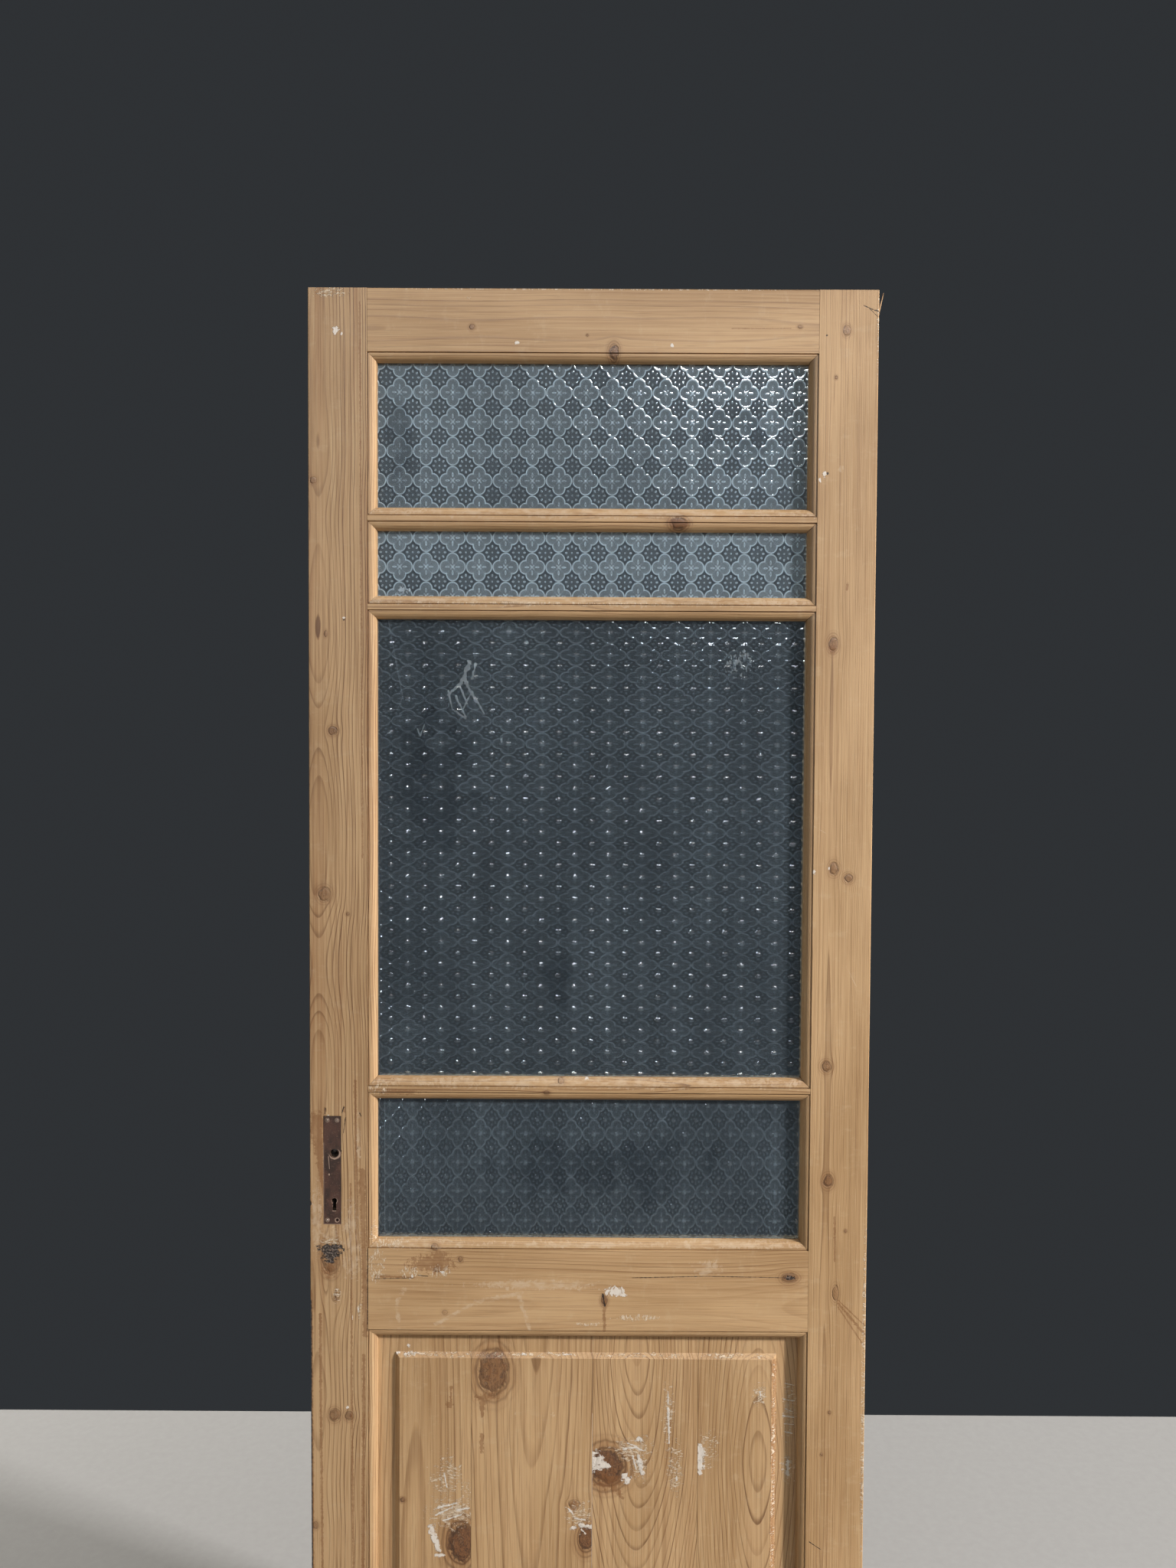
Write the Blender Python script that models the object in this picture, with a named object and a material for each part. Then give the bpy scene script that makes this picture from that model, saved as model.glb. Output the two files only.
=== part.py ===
"""Four-lite door leaf in stripped pine.

Two stiles, three rails and three glazing bars with a stuck ovolo hold four panes of figured glass
over one fielded panel. Metres, +Z up. The front faces -Y and the lock stile is at -X. The origin is
on the hinge edge, at mid-height and mid-thickness.
"""
import math
from collections import namedtuple

import bmesh
import bpy
from mathutils import Vector

# The leaf
LEAF_W = 0.800
LEAF_H = 2.200
LEAF_T = 0.040
ARRIS = 0.001

# Faces of the members, without their mouldings
STILE_FACE = 0.083
TOP_RAIL_FACE = 0.088
LOCK_RAIL_FACE = 0.118
BOTTOM_RAIL_FACE = 0.200
BAR_FACE = 0.0075

# Lites between their mouldings, from the top down
LITE_HEIGHTS = (0.203, 0.092, 0.655, 0.203)

# The moulding stuck on the front edges: across is into the opening, deep is back from the face
STICK_W = 0.0125
QUIRK_W = 0.0015
QUIRK_DEEP = 0.0026
LIP_DEEP = 0.0010
OVOLO_DEEP = 0.0120
OVOLO_STEPS = 8
BACK_CHAMFER = 0.004

# Joints
JOINT_GAP = 0.0004
MITRE_EASE = 0.0001
TENON_T = 0.012
TENON_DEEP = 0.014
TENON_L = 0.055
TENON_SHOULDER = 0.015
TENON_HAUNCH = 0.030
BAR_TENON_T = 0.010
BAR_TENON_DEEP = 0.018
BAR_TENON_H = 0.010
BAR_TENON_L = 0.015

# Glass, in a rebate closed by beads
GLASS_DEEP = 0.0140
GLASS_T = 0.0040
GLASS_PLAY = 0.0015
REBATE_W = 0.0090
BEAD_W = 0.0085
BEAD_H = 0.0140
BEAD_CHAMFER = 0.0040

# Panel of boards, loose in its groove, dropped and drifted towards the lock stile
GROOVE_DEEP = 0.0130
GROOVE_T = 0.0100
GROOVE_IN = 0.0100
PANEL_IN_LEFT = 0.0092
PANEL_IN_RIGHT = 0.0036
PANEL_IN_TOP = 0.0080
PANEL_MARGIN = 0.034
FIELD_SLOPE = 0.0070
FIELD_RISE = 0.0050
BOARD_WIDTHS = (0.145, 0.176, 0.153)

# Lock plate, let into the lock stile. The spindle is measured up from the lock rail's upper face line.
PLATE_W = 0.025
PLATE_H = 0.157
PLATE_T = 0.0018
PLATE_SINK = 0.0002
PLATE_CORNER = 0.0008
PLATE_FROM_EDGE = 0.0195
SPINDLE_UP = 0.1385
SPINDLE_FROM_EDGE = 0.035
SPINDLE_R = 0.0060
SPINDLE_BELOW_PLATE_TOP = 0.0537
HOLE_SIDES = 20
KEY_BELOW_SPINDLE = 0.069
KEY_R = 0.0038
KEY_SLOT_W = 0.0052
KEY_SLOT_H = 0.0148
NAIL_IN_X = 0.0055
NAIL_IN_Z = 0.0060
NAIL_HEAD_R = 0.0023
NAIL_HEAD_H = 0.0009
NAIL_CROWN_IN = 0.0005
NAIL_CROWN_H = 0.0003
NAIL_SHANK_R = 0.0010
NAIL_L = 0.0160
NAIL_SIDES = 12

# Wane on the foot of the lock stile, where the tree's outside cuts into the front arris
WANE_W = 0.0055
WANE_DEEP = 0.0090
WANE_H = 0.760
WANE_START = 0.0012

# Splinter split from the hinge edge near the head, still held at its foot
SPLINTER_ROOT_DOWN = 0.034
SPLINTER_L = 0.031
SPLINTER_LEAN = 0.0070
SPLINTER_T = 0.0013
SPLINTER_TIP_T = 0.0004
SPLINTER_ROOT_H = 0.0040
SPLINTER_W = 0.0030
SPLINTER_FRONT = 0.0030

# How far a cutter runs past what it cuts, and the angle in degrees from which an edge shades sharp
OVER = 0.010
SHARP_EDGE = 32

FRONT = -LEAF_T / 2
BACK = LEAF_T / 2
TOP = LEAF_H / 2
FOOT = -LEAF_H / 2
LOCK_EDGE = -LEAF_W
HINGE_EDGE = 0.0
LOCK_FACE_LINE = LOCK_EDGE + STILE_FACE
HINGE_FACE_LINE = HINGE_EDGE - STILE_FACE
TONGUE = STICK_W - REBATE_W

# A member that runs from stile to stile. low and high are where its flat face ends, and each end
# is either moulded or plain. full is whether it is as thick as the leaf.
Crosspiece = namedtuple("Crosspiece", "name low high low_edge high_edge full")
Opening = namedtuple("Opening", "low high")


def empty_scene():
    for obj in list(bpy.data.objects):
        bpy.data.objects.remove(obj, do_unlink=True)


def material(name, colour, roughness, metallic=0.0, transmission=0.0):
    mat = bpy.data.materials.new(name)
    mat.use_nodes = True
    shader = mat.node_tree.nodes["Principled BSDF"]
    shader.inputs["Base Color"].default_value = (*colour, 1.0)
    shader.inputs["Roughness"].default_value = roughness
    shader.inputs["Metallic"].default_value = metallic
    shader.inputs["Transmission Weight"].default_value = transmission
    return mat


# Layout of the members and openings
def lay_out():
    """Give the crosspieces and lites from the top down, and the panel's opening."""
    line = TOP - TOP_RAIL_FACE
    pieces = [Crosspiece("top_rail", line, TOP, "glazed", "plain", True)]
    lites = []
    for number, height in enumerate(LITE_HEIGHTS, start=1):
        below = line - 2 * STICK_W - height
        lites.append(Opening(below, line))
        line = below
        if number < len(LITE_HEIGHTS):
            line = below - BAR_FACE
            pieces.append(Crosspiece(f"glazing_bar_{number}", line, below, "glazed", "glazed", False))
    lock_low = line - LOCK_RAIL_FACE
    pieces.append(Crosspiece("lock_rail", lock_low, line, "panel", "glazed", True))
    bottom_high = FOOT + BOTTOM_RAIL_FACE
    pieces.append(Crosspiece("bottom_rail", FOOT, bottom_high, "plain", "panel", True))
    return pieces, lites, Opening(bottom_high, lock_low)


# Edges, as (across, deep) points from the front face to the back
def moulding():
    """Quirk, lip and ovolo."""
    wide = STICK_W - QUIRK_W
    high = OVOLO_DEEP - LIP_DEEP
    points = [(0.0, 0.0), (0.0, QUIRK_DEEP), (QUIRK_W, QUIRK_DEEP)]
    for step in range(OVOLO_STEPS + 1):
        turn = math.pi / 2 * step / OVOLO_STEPS
        points.append((QUIRK_W + wide * math.sin(turn), OVOLO_DEEP - high * math.cos(turn)))
    return points


def plain_edge():
    return [(-ARRIS, 0.0), (0.0, ARRIS), (0.0, LEAF_T - ARRIS), (-ARRIS, LEAF_T)]


def bar_edge():
    return moulding() + [(STICK_W, GLASS_DEEP)]


def glazed_edge():
    return bar_edge() + [(TONGUE, GLASS_DEEP), (TONGUE, LEAF_T)]


def uncut_edge():
    """Moulded in front and chamfered behind, before a rebate or a groove is cut."""
    return moulding() + [(STICK_W, LEAF_T - BACK_CHAMFER), (STICK_W - BACK_CHAMFER, LEAF_T)]


def panel_edge():
    floor = STICK_W - GROOVE_IN
    groove_back = GROOVE_DEEP + GROOVE_T
    groove = [(STICK_W, GROOVE_DEEP), (floor, GROOVE_DEEP), (floor, groove_back), (STICK_W, groove_back)]
    edge = uncut_edge()
    return edge[:-2] + groove + edge[-2:]


EDGES = {"plain": plain_edge, "glazed": glazed_edge, "panel": panel_edge}


def section(low, high, low_edge, high_edge):
    """Close the outline of a member between two face lines, each with its own edge."""
    outline = [(low - across, FRONT + deep) for across, deep in low_edge]
    outline += [(high + across, FRONT + deep) for across, deep in reversed(high_edge)]
    return outline


def box_outline(a_low, a_high, b_low, b_high):
    return [(a_low, b_low), (a_high, b_low), (a_high, b_high), (a_low, b_high)]


def circle_outline(a, b, radius, sides):
    turns = [2 * math.pi * side / sides for side in range(sides)]
    return [(a + radius * math.cos(turn), b + radius * math.sin(turn)) for turn in turns]


# Solids
def along_x(outline, start, end):
    """Outline points are (z, y)."""
    return [Vector((start, y, z)) for z, y in outline], Vector((end - start, 0, 0))


def along_y(outline, start, end):
    """Outline points are (x, z)."""
    return [Vector((x, start, z)) for x, z in outline], Vector((0, end - start, 0))


def along_z(outline, start, end):
    """Outline points are (x, y)."""
    return [Vector((x, y, start)) for x, y in outline], Vector((0, 0, end - start))


def prisms(*shapes):
    """Extrude each placed outline into one mesh of closed prisms."""
    bm = bmesh.new()
    for points, step in shapes:
        face = bm.faces.new([bm.verts.new(point) for point in points])
        made = bmesh.ops.extrude_face_region(bm, geom=[face])["geom"]
        moved = [item for item in made if isinstance(item, bmesh.types.BMVert)]
        bmesh.ops.translate(bm, verts=moved, vec=step)
    bmesh.ops.recalc_face_normals(bm, faces=bm.faces)
    return bm


def add_object(name, bm, mat=None):
    mesh = bpy.data.meshes.new(name)
    bm.to_mesh(mesh)
    bm.free()
    mesh.shade_smooth()
    mesh.set_sharp_from_angle(angle=math.radians(SHARP_EDGE))
    obj = bpy.data.objects.new(name, mesh)
    bpy.context.scene.collection.objects.link(obj)
    if mat:
        mesh.materials.append(mat)
    return obj


def combine(obj, label, operation, bm):
    """Cut a helper mesh from an object, or join it on."""
    helper = add_object(f"{obj.name}_{label}", bm)
    helper.hide_render = True
    helper.display_type = "WIRE"
    step = obj.modifiers.new(label, "BOOLEAN")
    step.operation = operation
    step.solver = "EXACT"
    step.object = helper


def cut(obj, label, bm):
    combine(obj, label, "DIFFERENCE", bm)


def join(obj, label, bm):
    combine(obj, label, "UNION", bm)


def saw(bm, point, normal):
    """Saw off what lies beyond a plane and close the cut."""
    geom = bm.verts[:] + bm.edges[:] + bm.faces[:]
    done = bmesh.ops.bisect_plane(bm, geom=geom, dist=1e-7, plane_co=point, plane_no=normal, clear_outer=True)
    rim = [item for item in done["geom_cut"] if isinstance(item, bmesh.types.BMEdge)]
    bmesh.ops.contextual_create(bm, geom=rim)
    bmesh.ops.recalc_face_normals(bm, faces=bm.faces)


# Joints between stiles and crosspieces. side is +1 at the lock stile and -1 at the hinge stile.
def face_line(side):
    return LOCK_FACE_LINE if side > 0 else HINGE_FACE_LINE


def seat_outline(side, piece):
    """The stile's moulding cut back to its face line, mitred to the crosspiece's own moulding."""
    line = face_line(side)
    reach = STICK_W + OVER
    high = (piece.high, piece.high + reach)
    low = (piece.low, piece.low - reach)
    if piece.high_edge == "plain":
        high = (piece.high + OVER, piece.high + OVER)
    if piece.low_edge == "plain":
        low = (piece.low - OVER, piece.low - OVER)
    out = line + side * reach
    return [(line, low[0]), (out, low[1]), (out, high[1]), (line, high[0])]


def mitre_outline(side, line, way):
    """What a crosspiece's moulding loses at one end, above (+1) or below (-1) its face line."""
    corner = face_line(side) + side * (JOINT_GAP + MITRE_EASE)
    reach = STICK_W + OVER
    far = line + way * reach
    return [(corner - side * OVER, line - way * OVER), (corner + side * reach, far), (corner - side * OVER, far)]


def mitres(piece, back):
    """All the mitres of a crosspiece, cut from before its face to a depth behind it."""
    shapes = []
    for side in (1, -1):
        if piece.high_edge != "plain":
            shapes.append(along_y(mitre_outline(side, piece.high, 1), FRONT - OVER, back))
        if piece.low_edge != "plain":
            shapes.append(along_y(mitre_outline(side, piece.low, -1), FRONT - OVER, back))
    return prisms(*shapes)


def rail_tenon(side, piece, root, play):
    """A rail's tenon from a root beyond its shoulder, or its mortise where play widens it."""
    low = piece.low + (TENON_HAUNCH if piece.low_edge == "plain" else TENON_SHOULDER)
    high = piece.high - (TENON_HAUNCH if piece.high_edge == "plain" else TENON_SHOULDER)
    front = FRONT + TENON_DEEP
    outline = box_outline(low - play, high + play, front - play, front + TENON_T + play)
    end = face_line(side) + side * JOINT_GAP
    return along_x(outline, end + side * root, end - side * (TENON_L + play))


def bar_tenon(side, piece, root, play):
    """The same for a glazing bar, from the end of its tongue."""
    middle = (piece.low + piece.high) / 2
    half = BAR_TENON_H / 2 + play
    front = FRONT + BAR_TENON_DEEP
    outline = box_outline(middle - half, middle + half, front - play, front + BAR_TENON_T + play)
    end = face_line(side) + side * (TONGUE + JOINT_GAP)
    return along_x(outline, end + side * root, end - side * (BAR_TENON_L + play))


def shoulder_to_shoulder(outline):
    return along_x(outline, LOCK_FACE_LINE + JOINT_GAP, HINGE_FACE_LINE - JOINT_GAP)


def make_rail(piece, mat):
    outline = section(piece.low, piece.high, EDGES[piece.low_edge](), EDGES[piece.high_edge]())
    rail = add_object(piece.name, prisms(shoulder_to_shoulder(outline)), mat)
    cut(rail, "mitres", mitres(piece, BACK + OVER))
    join(rail, "tenons", prisms(*(rail_tenon(side, piece, OVER, 0.0) for side in (1, -1))))


def make_bar(piece, mat):
    outline = section(piece.low, piece.high, bar_edge(), bar_edge())
    bar = add_object(piece.name, prisms(shoulder_to_shoulder(outline)), mat)
    cut(bar, "mitres", mitres(piece, FRONT + GLASS_DEEP + OVER))
    inset = TONGUE + JOINT_GAP
    root = FRONT + GLASS_DEEP / 2
    tongue = box_outline(piece.low - TONGUE, piece.high + TONGUE, root, BACK)
    join(bar, "tongue", prisms(along_x(tongue, LOCK_FACE_LINE + inset, HINGE_FACE_LINE - inset)))
    join(bar, "tenons", prisms(*(bar_tenon(side, piece, OVER, 0.0) for side in (1, -1))))


def make_stile(name, side, pieces, lites, panel, mat):
    line = face_line(side)
    rails = [piece for piece in pieces if piece.full]
    bars = [piece for piece in pieces if not piece.full]
    if side > 0:
        outline = section(LOCK_EDGE, line, plain_edge(), uncut_edge())
    else:
        outline = section(line, HINGE_EDGE, uncut_edge(), plain_edge())
    stile = add_object(name, prisms(along_z(outline, FOOT, TOP)), mat)
    seats = [along_y(seat_outline(side, piece), FRONT - OVER, BACK + OVER) for piece in rails]
    cut(stile, "rail_seats", prisms(*seats))
    clear = line + side * (STICK_W + OVER)
    rebate = box_outline(line + side * TONGUE, clear, FRONT + GLASS_DEEP, BACK + OVER)
    cut(stile, "rebate", prisms(along_z(rebate, lites[-1].low, lites[0].high)))
    front = FRONT + GROOVE_DEEP
    groove = box_outline(line + side * (STICK_W - GROOVE_IN), clear, front, front + GROOVE_T)
    cut(stile, "groove", prisms(along_z(groove, panel.low, panel.high)))
    floor = FRONT + GLASS_DEEP + JOINT_GAP
    seats = [along_y(seat_outline(side, piece), FRONT - OVER, floor) for piece in bars]
    cut(stile, "bar_seats", prisms(*seats))
    mortises = [rail_tenon(side, piece, OVER, JOINT_GAP) for piece in rails]
    mortises += [bar_tenon(side, piece, OVER, JOINT_GAP) for piece in bars]
    cut(stile, "mortises", prisms(*mortises))
    return stile


def cut_wane(stile):
    """Take a strip off the front arris of the lock edge, from nearly nothing down to full width."""
    slope = WANE_DEEP / WANE_W
    corner = (LOCK_EDGE - OVER, FRONT - OVER)
    across = (LOCK_EDGE + WANE_W + OVER / slope, FRONT - OVER)
    deep = (LOCK_EDGE - OVER, FRONT + WANE_DEEP + OVER * slope)
    bm = prisms(along_z([corner, across, deep], FOOT - OVER, FOOT + WANE_H))
    head = [vert for vert in bm.verts if vert.co.z > FOOT]
    bmesh.ops.translate(bm, verts=head, vec=Vector((WANE_START - WANE_W, 0.0, 0.0)))
    cut(stile, "wane", bm)


def add_splinter(stile):
    """A tapered sliver that leans out of the hinge edge."""
    root = TOP - SPLINTER_ROOT_DOWN
    tip = root + SPLINTER_L
    lean = HINGE_EDGE + SPLINTER_LEAN
    outline = [(HINGE_EDGE - SPLINTER_T, root - SPLINTER_ROOT_H), (HINGE_EDGE + SPLINTER_T / 2, root),
               (lean, tip), (lean - SPLINTER_TIP_T, tip), (HINGE_EDGE - SPLINTER_T, root + SPLINTER_T)]
    front = FRONT + SPLINTER_FRONT
    join(stile, "splinter", prisms(along_y(outline, front, front + SPLINTER_W)))


# Glass and beads
def rebate_bounds(lite):
    """Left, right, low and high walls of a lite's rebate."""
    return (LOCK_FACE_LINE + TONGUE, HINGE_FACE_LINE - TONGUE, lite.low + TONGUE, lite.high - TONGUE)


def make_pane(number, lite, mat):
    """A pane that stands on the rebate's foot, with a little play at its sides and head."""
    left, right, low, high = rebate_bounds(lite)
    outline = box_outline(left + GLASS_PLAY, right - GLASS_PLAY, low + JOINT_GAP, high - GLASS_PLAY)
    front = FRONT + GLASS_DEEP + JOINT_GAP
    add_object(f"pane_{number}", prisms(along_y(outline, front, front + GLASS_T)), mat)


def bead_outline(wall, way):
    front = FRONT + GLASS_DEEP + GLASS_T + 2 * JOINT_GAP
    back = front + BEAD_H
    near = wall + way * JOINT_GAP
    far = wall + way * BEAD_W
    return [(near, front), (far, front), (far, back - BEAD_CHAMFER), (far - way * BEAD_CHAMFER, back), (near, back)]


def make_bead(name, wall, way, start, end, upright, mat):
    """A bead along one wall of a rebate, mitred at both ends, with way pointing into the lite."""
    place = along_z if upright else along_x
    bm = prisms(place(bead_outline(wall, way), start, end))
    for corner, turn in ((start, -1), (end, 1)):
        run = corner - turn * JOINT_GAP
        point = (wall, 0, run) if upright else (run, 0, wall)
        normal = (way, 0, turn) if upright else (turn, 0, way)
        saw(bm, Vector(point), Vector(normal))
    add_object(name, bm, mat)


def make_beads(number, lite, mat):
    left, right, low, high = rebate_bounds(lite)
    make_bead(f"bead_{number}_bottom", low, 1, left, right, False, mat)
    make_bead(f"bead_{number}_top", high, -1, left, right, False, mat)
    make_bead(f"bead_{number}_left", left, 1, low, high, True, mat)
    make_bead(f"bead_{number}_right", right, -1, low, high, True, mat)


# Panel
def panel_bounds(panel):
    """Left, right, low and high edges of the whole panel, standing on the groove of the bottom rail."""
    left = LOCK_FACE_LINE + STICK_W - PANEL_IN_LEFT
    right = HINGE_FACE_LINE - STICK_W + PANEL_IN_RIGHT
    low = panel.low + STICK_W - GROOVE_IN + JOINT_GAP
    high = panel.high - STICK_W + PANEL_IN_TOP
    return left, right, low, high


def whole_panel(panel):
    """A flat board with its field raised in front by a sloped step."""
    left, right, low, high = panel_bounds(panel)
    front = FRONT + GROOVE_DEEP + JOINT_GAP
    back = FRONT + GROOVE_DEEP + GROOVE_T - JOINT_GAP
    bm = prisms(along_y(box_outline(left, right, low, high), front, back))
    face = min(bm.faces, key=lambda item: item.calc_center_median().y)
    bmesh.ops.inset_region(bm, faces=[face], thickness=PANEL_MARGIN, use_even_offset=True)
    bmesh.ops.inset_region(bm, faces=[face], thickness=FIELD_SLOPE, depth=FIELD_RISE, use_even_offset=True)
    return bm


def make_panel_boards(panel, mat):
    """The panel sawn into its boards, each seam a joint's gap wide."""
    seam = panel_bounds(panel)[0]
    seams = []
    for width in BOARD_WIDTHS:
        seam += width
        seams.append(seam)
    half = JOINT_GAP / 2
    for index in range(len(BOARD_WIDTHS) + 1):
        bm = whole_panel(panel)
        if index > 0:
            saw(bm, Vector((seams[index - 1] + half, 0, 0)), Vector((-1, 0, 0)))
        if index < len(seams):
            saw(bm, Vector((seams[index] - half, 0, 0)), Vector((1, 0, 0)))
        add_object(f"panel_board_{index + 1}", bm, mat)


# Lock plate
def spindle_place():
    lock_rail = next(piece for piece in lay_out()[0] if piece.name == "lock_rail")
    return LOCK_EDGE + SPINDLE_FROM_EDGE, lock_rail.high + SPINDLE_UP


def plate_bounds():
    left = LOCK_EDGE + PLATE_FROM_EDGE
    top = spindle_place()[1] + SPINDLE_BELOW_PLATE_TOP
    return left, left + PLATE_W, top - PLATE_H, top


def nail_places():
    left, right, low, top = plate_bounds()
    across = (left + NAIL_IN_X, right - NAIL_IN_X)
    up = (top - NAIL_IN_Z, low + NAIL_IN_Z)
    return [(x, z) for z in up for x in across]


def keyhole_outline():
    """A round hole that runs down into a slot."""
    x, z = spindle_place()
    z -= KEY_BELOW_SPINDLE
    half = KEY_SLOT_W / 2
    opening = math.asin(half / KEY_R)
    sweep = 2 * math.pi - 2 * opening
    turns = [opening - math.pi / 2 + sweep * step / HOLE_SIDES for step in range(HOLE_SIDES + 1)]
    outline = [(x + KEY_R * math.cos(turn), z + KEY_R * math.sin(turn)) for turn in turns]
    return outline + [(x - half, z - KEY_SLOT_H), (x + half, z - KEY_SLOT_H)]


def lock_holes(start, end):
    spindle = circle_outline(*spindle_place(), SPINDLE_R, HOLE_SIDES)
    return [along_y(spindle, start, end), along_y(keyhole_outline(), start, end)]


def nail_holes(start, end):
    radius = NAIL_SHANK_R + JOINT_GAP
    return [along_y(circle_outline(x, z, radius, NAIL_SIDES), start, end) for x, z in nail_places()]


def let_in_plate(stile):
    """House the plate in the stile and bore the lock's and the nails' holes."""
    left, right, low, high = plate_bounds()
    outline = box_outline(left - JOINT_GAP, right + JOINT_GAP, low - JOINT_GAP, high + JOINT_GAP)
    floor = FRONT + PLATE_SINK + PLATE_T + JOINT_GAP
    cut(stile, "housing", prisms(along_y(outline, FRONT - OVER, floor)))
    cut(stile, "lock_holes", prisms(*lock_holes(FRONT - OVER, BACK + OVER)))
    cut(stile, "nail_holes", prisms(*nail_holes(FRONT - OVER, FRONT + PLATE_SINK + NAIL_L + JOINT_GAP)))


def make_plate(mat):
    front = FRONT + PLATE_SINK
    bm = prisms(along_y(box_outline(*plate_bounds()), front, front + PLATE_T))
    corners = [edge for edge in bm.edges if abs(edge.verts[0].co.y - edge.verts[1].co.y) > PLATE_T / 2]
    bmesh.ops.bevel(bm, geom=corners, offset=PLATE_CORNER, affect="EDGES", segments=2, profile=0.5, material=-1)
    plate = add_object("lock_plate", bm, mat)
    cut(plate, "lock_holes", prisms(*lock_holes(FRONT - OVER, FRONT + OVER)))
    cut(plate, "nail_holes", prisms(*nail_holes(FRONT - OVER, FRONT + OVER)))


def make_nail(number, x, z, mat):
    """A nail with a low domed head on the plate, turned about its shank."""
    under = -JOINT_GAP
    tip = NAIL_L - PLATE_SINK
    profile = [(0.0, tip), (NAIL_SHANK_R, tip - NAIL_SHANK_R), (NAIL_SHANK_R, under), (NAIL_HEAD_R, under),
               (NAIL_HEAD_R - NAIL_CROWN_IN, under - NAIL_HEAD_H + NAIL_CROWN_H), (0.0, under - NAIL_HEAD_H)]
    bm = bmesh.new()
    verts = [bm.verts.new((x + radius, FRONT + PLATE_SINK + deep, z)) for radius, deep in profile]
    edges = [bm.edges.new(pair) for pair in zip(verts, verts[1:])]
    bmesh.ops.spin(bm, geom=verts + edges, cent=(x, 0, z), axis=(0, 1, 0), angle=2 * math.pi,
                   steps=NAIL_SIDES, use_merge=True)
    bmesh.ops.remove_doubles(bm, verts=bm.verts, dist=1e-6)
    bmesh.ops.recalc_face_normals(bm, faces=bm.faces)
    add_object(f"plate_nail_{number}", bm, mat)


def main():
    empty_scene()
    pine = material("pine", (0.52, 0.34, 0.17), 0.62)
    panel_pine = material("panel_pine", (0.50, 0.33, 0.17), 0.62)
    bead_pine = material("bead_pine", (0.46, 0.31, 0.17), 0.66)
    figured_glass = material("figured_glass", (0.80, 0.88, 0.88), 0.08, transmission=1.0)
    rusted_iron = material("rusted_iron", (0.09, 0.055, 0.04), 0.60, metallic=0.6)
    worn_steel = material("worn_steel", (0.30, 0.27, 0.24), 0.45, metallic=0.9)

    pieces, lites, panel = lay_out()
    for piece in pieces:
        make = make_rail if piece.full else make_bar
        make(piece, pine)
    lock_stile = make_stile("lock_stile", 1, pieces, lites, panel, pine)
    let_in_plate(lock_stile)
    cut_wane(lock_stile)
    hinge_stile = make_stile("hinge_stile", -1, pieces, lites, panel, pine)
    add_splinter(hinge_stile)
    for number, lite in enumerate(lites, start=1):
        make_pane(number, lite, figured_glass)
        make_beads(number, lite, bead_pine)
    make_panel_boards(panel, panel_pine)
    make_plate(rusted_iron)
    for number, (x, z) in enumerate(nail_places()[:3], start=1):
        make_nail(number, x, z, worn_steel)


main()
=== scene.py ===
"""Four-lite door in stripped pine, with figured glass, a fielded panel and an iron lock plate."""
import math

import bmesh
import bpy
import numpy as np
from mathutils import Euler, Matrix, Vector


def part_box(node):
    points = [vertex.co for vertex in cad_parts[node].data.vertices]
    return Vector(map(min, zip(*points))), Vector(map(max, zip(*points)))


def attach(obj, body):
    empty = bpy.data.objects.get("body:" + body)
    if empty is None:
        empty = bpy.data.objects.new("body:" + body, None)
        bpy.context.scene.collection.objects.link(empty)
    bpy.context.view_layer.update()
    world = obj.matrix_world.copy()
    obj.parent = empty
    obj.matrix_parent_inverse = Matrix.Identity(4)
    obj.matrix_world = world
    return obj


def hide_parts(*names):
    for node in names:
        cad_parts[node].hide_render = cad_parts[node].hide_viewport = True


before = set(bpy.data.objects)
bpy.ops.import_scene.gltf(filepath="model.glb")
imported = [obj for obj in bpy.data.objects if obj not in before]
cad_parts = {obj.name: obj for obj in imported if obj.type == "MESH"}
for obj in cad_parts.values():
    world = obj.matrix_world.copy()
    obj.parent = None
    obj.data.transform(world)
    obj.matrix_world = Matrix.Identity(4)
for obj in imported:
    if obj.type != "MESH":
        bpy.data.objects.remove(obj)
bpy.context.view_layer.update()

FRONT = -0.020
FOOT = -1.100
# How deep a mark on the front goes
SKIN = 0.016

# Where marks and strokes begin and where they are full, one being their outline
MARK_EDGE = (1.08, 0.92)
STROKE_EDGE = (1.1, 0.7)
STROKE_TAPER = 0.3
# A distance that counts as no knot, in knot sizes, and how far and how softly a knot pushes the
# grain
FAR = 9.0
KNOT_PULL = 1.1
KNOT_EASE = 0.45
# Rounding of a bow in the grain, and how far its lines waver, in metres
BOW_ROUND = 0.03
RIPPLE = 0.0035
WIGGLE = 0.0008
# Heights of bump, in metres
WOOD_BUMP = 0.0007
IRON_BUMP = 0.0004
STEEL_BUMP = 0.0002

# Colours of bare pine
WOOD = (0.578, 0.364, 0.180)
DARKER_WOOD = (0.405, 0.234, 0.098)
RED_STREAK = (0.325, 0.142, 0.046)
SCUFFED_WOOD = (0.610, 0.440, 0.262)
DARK_VEIN = (0.240, 0.112, 0.038)
PALE_VEIN = (0.700, 0.500, 0.280)
LATE_WOOD = (0.120, 0.044, 0.013)
EARLY_WOOD = (0.600, 0.410, 0.228)
DARK_FIBRE = (0.185, 0.094, 0.040)
PALE_FIBRE = (0.640, 0.455, 0.270)
AGED_WOOD = (0.150, 0.085, 0.045)

# Colours of its knots, from outside in
KNOT_HALO = (0.290, 0.128, 0.042)
KNOT_CURLS = (0.115, 0.048, 0.019)
KNOT_RIM = (0.062, 0.030, 0.016)
KNOT_CORE = (0.200, 0.084, 0.034)
KNOT_RINGS = (0.055, 0.023, 0.012)
KNOT_CRUMBS = (0.345, 0.225, 0.130)
KNOT_SPLIT = (0.050, 0.024, 0.013)

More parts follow.
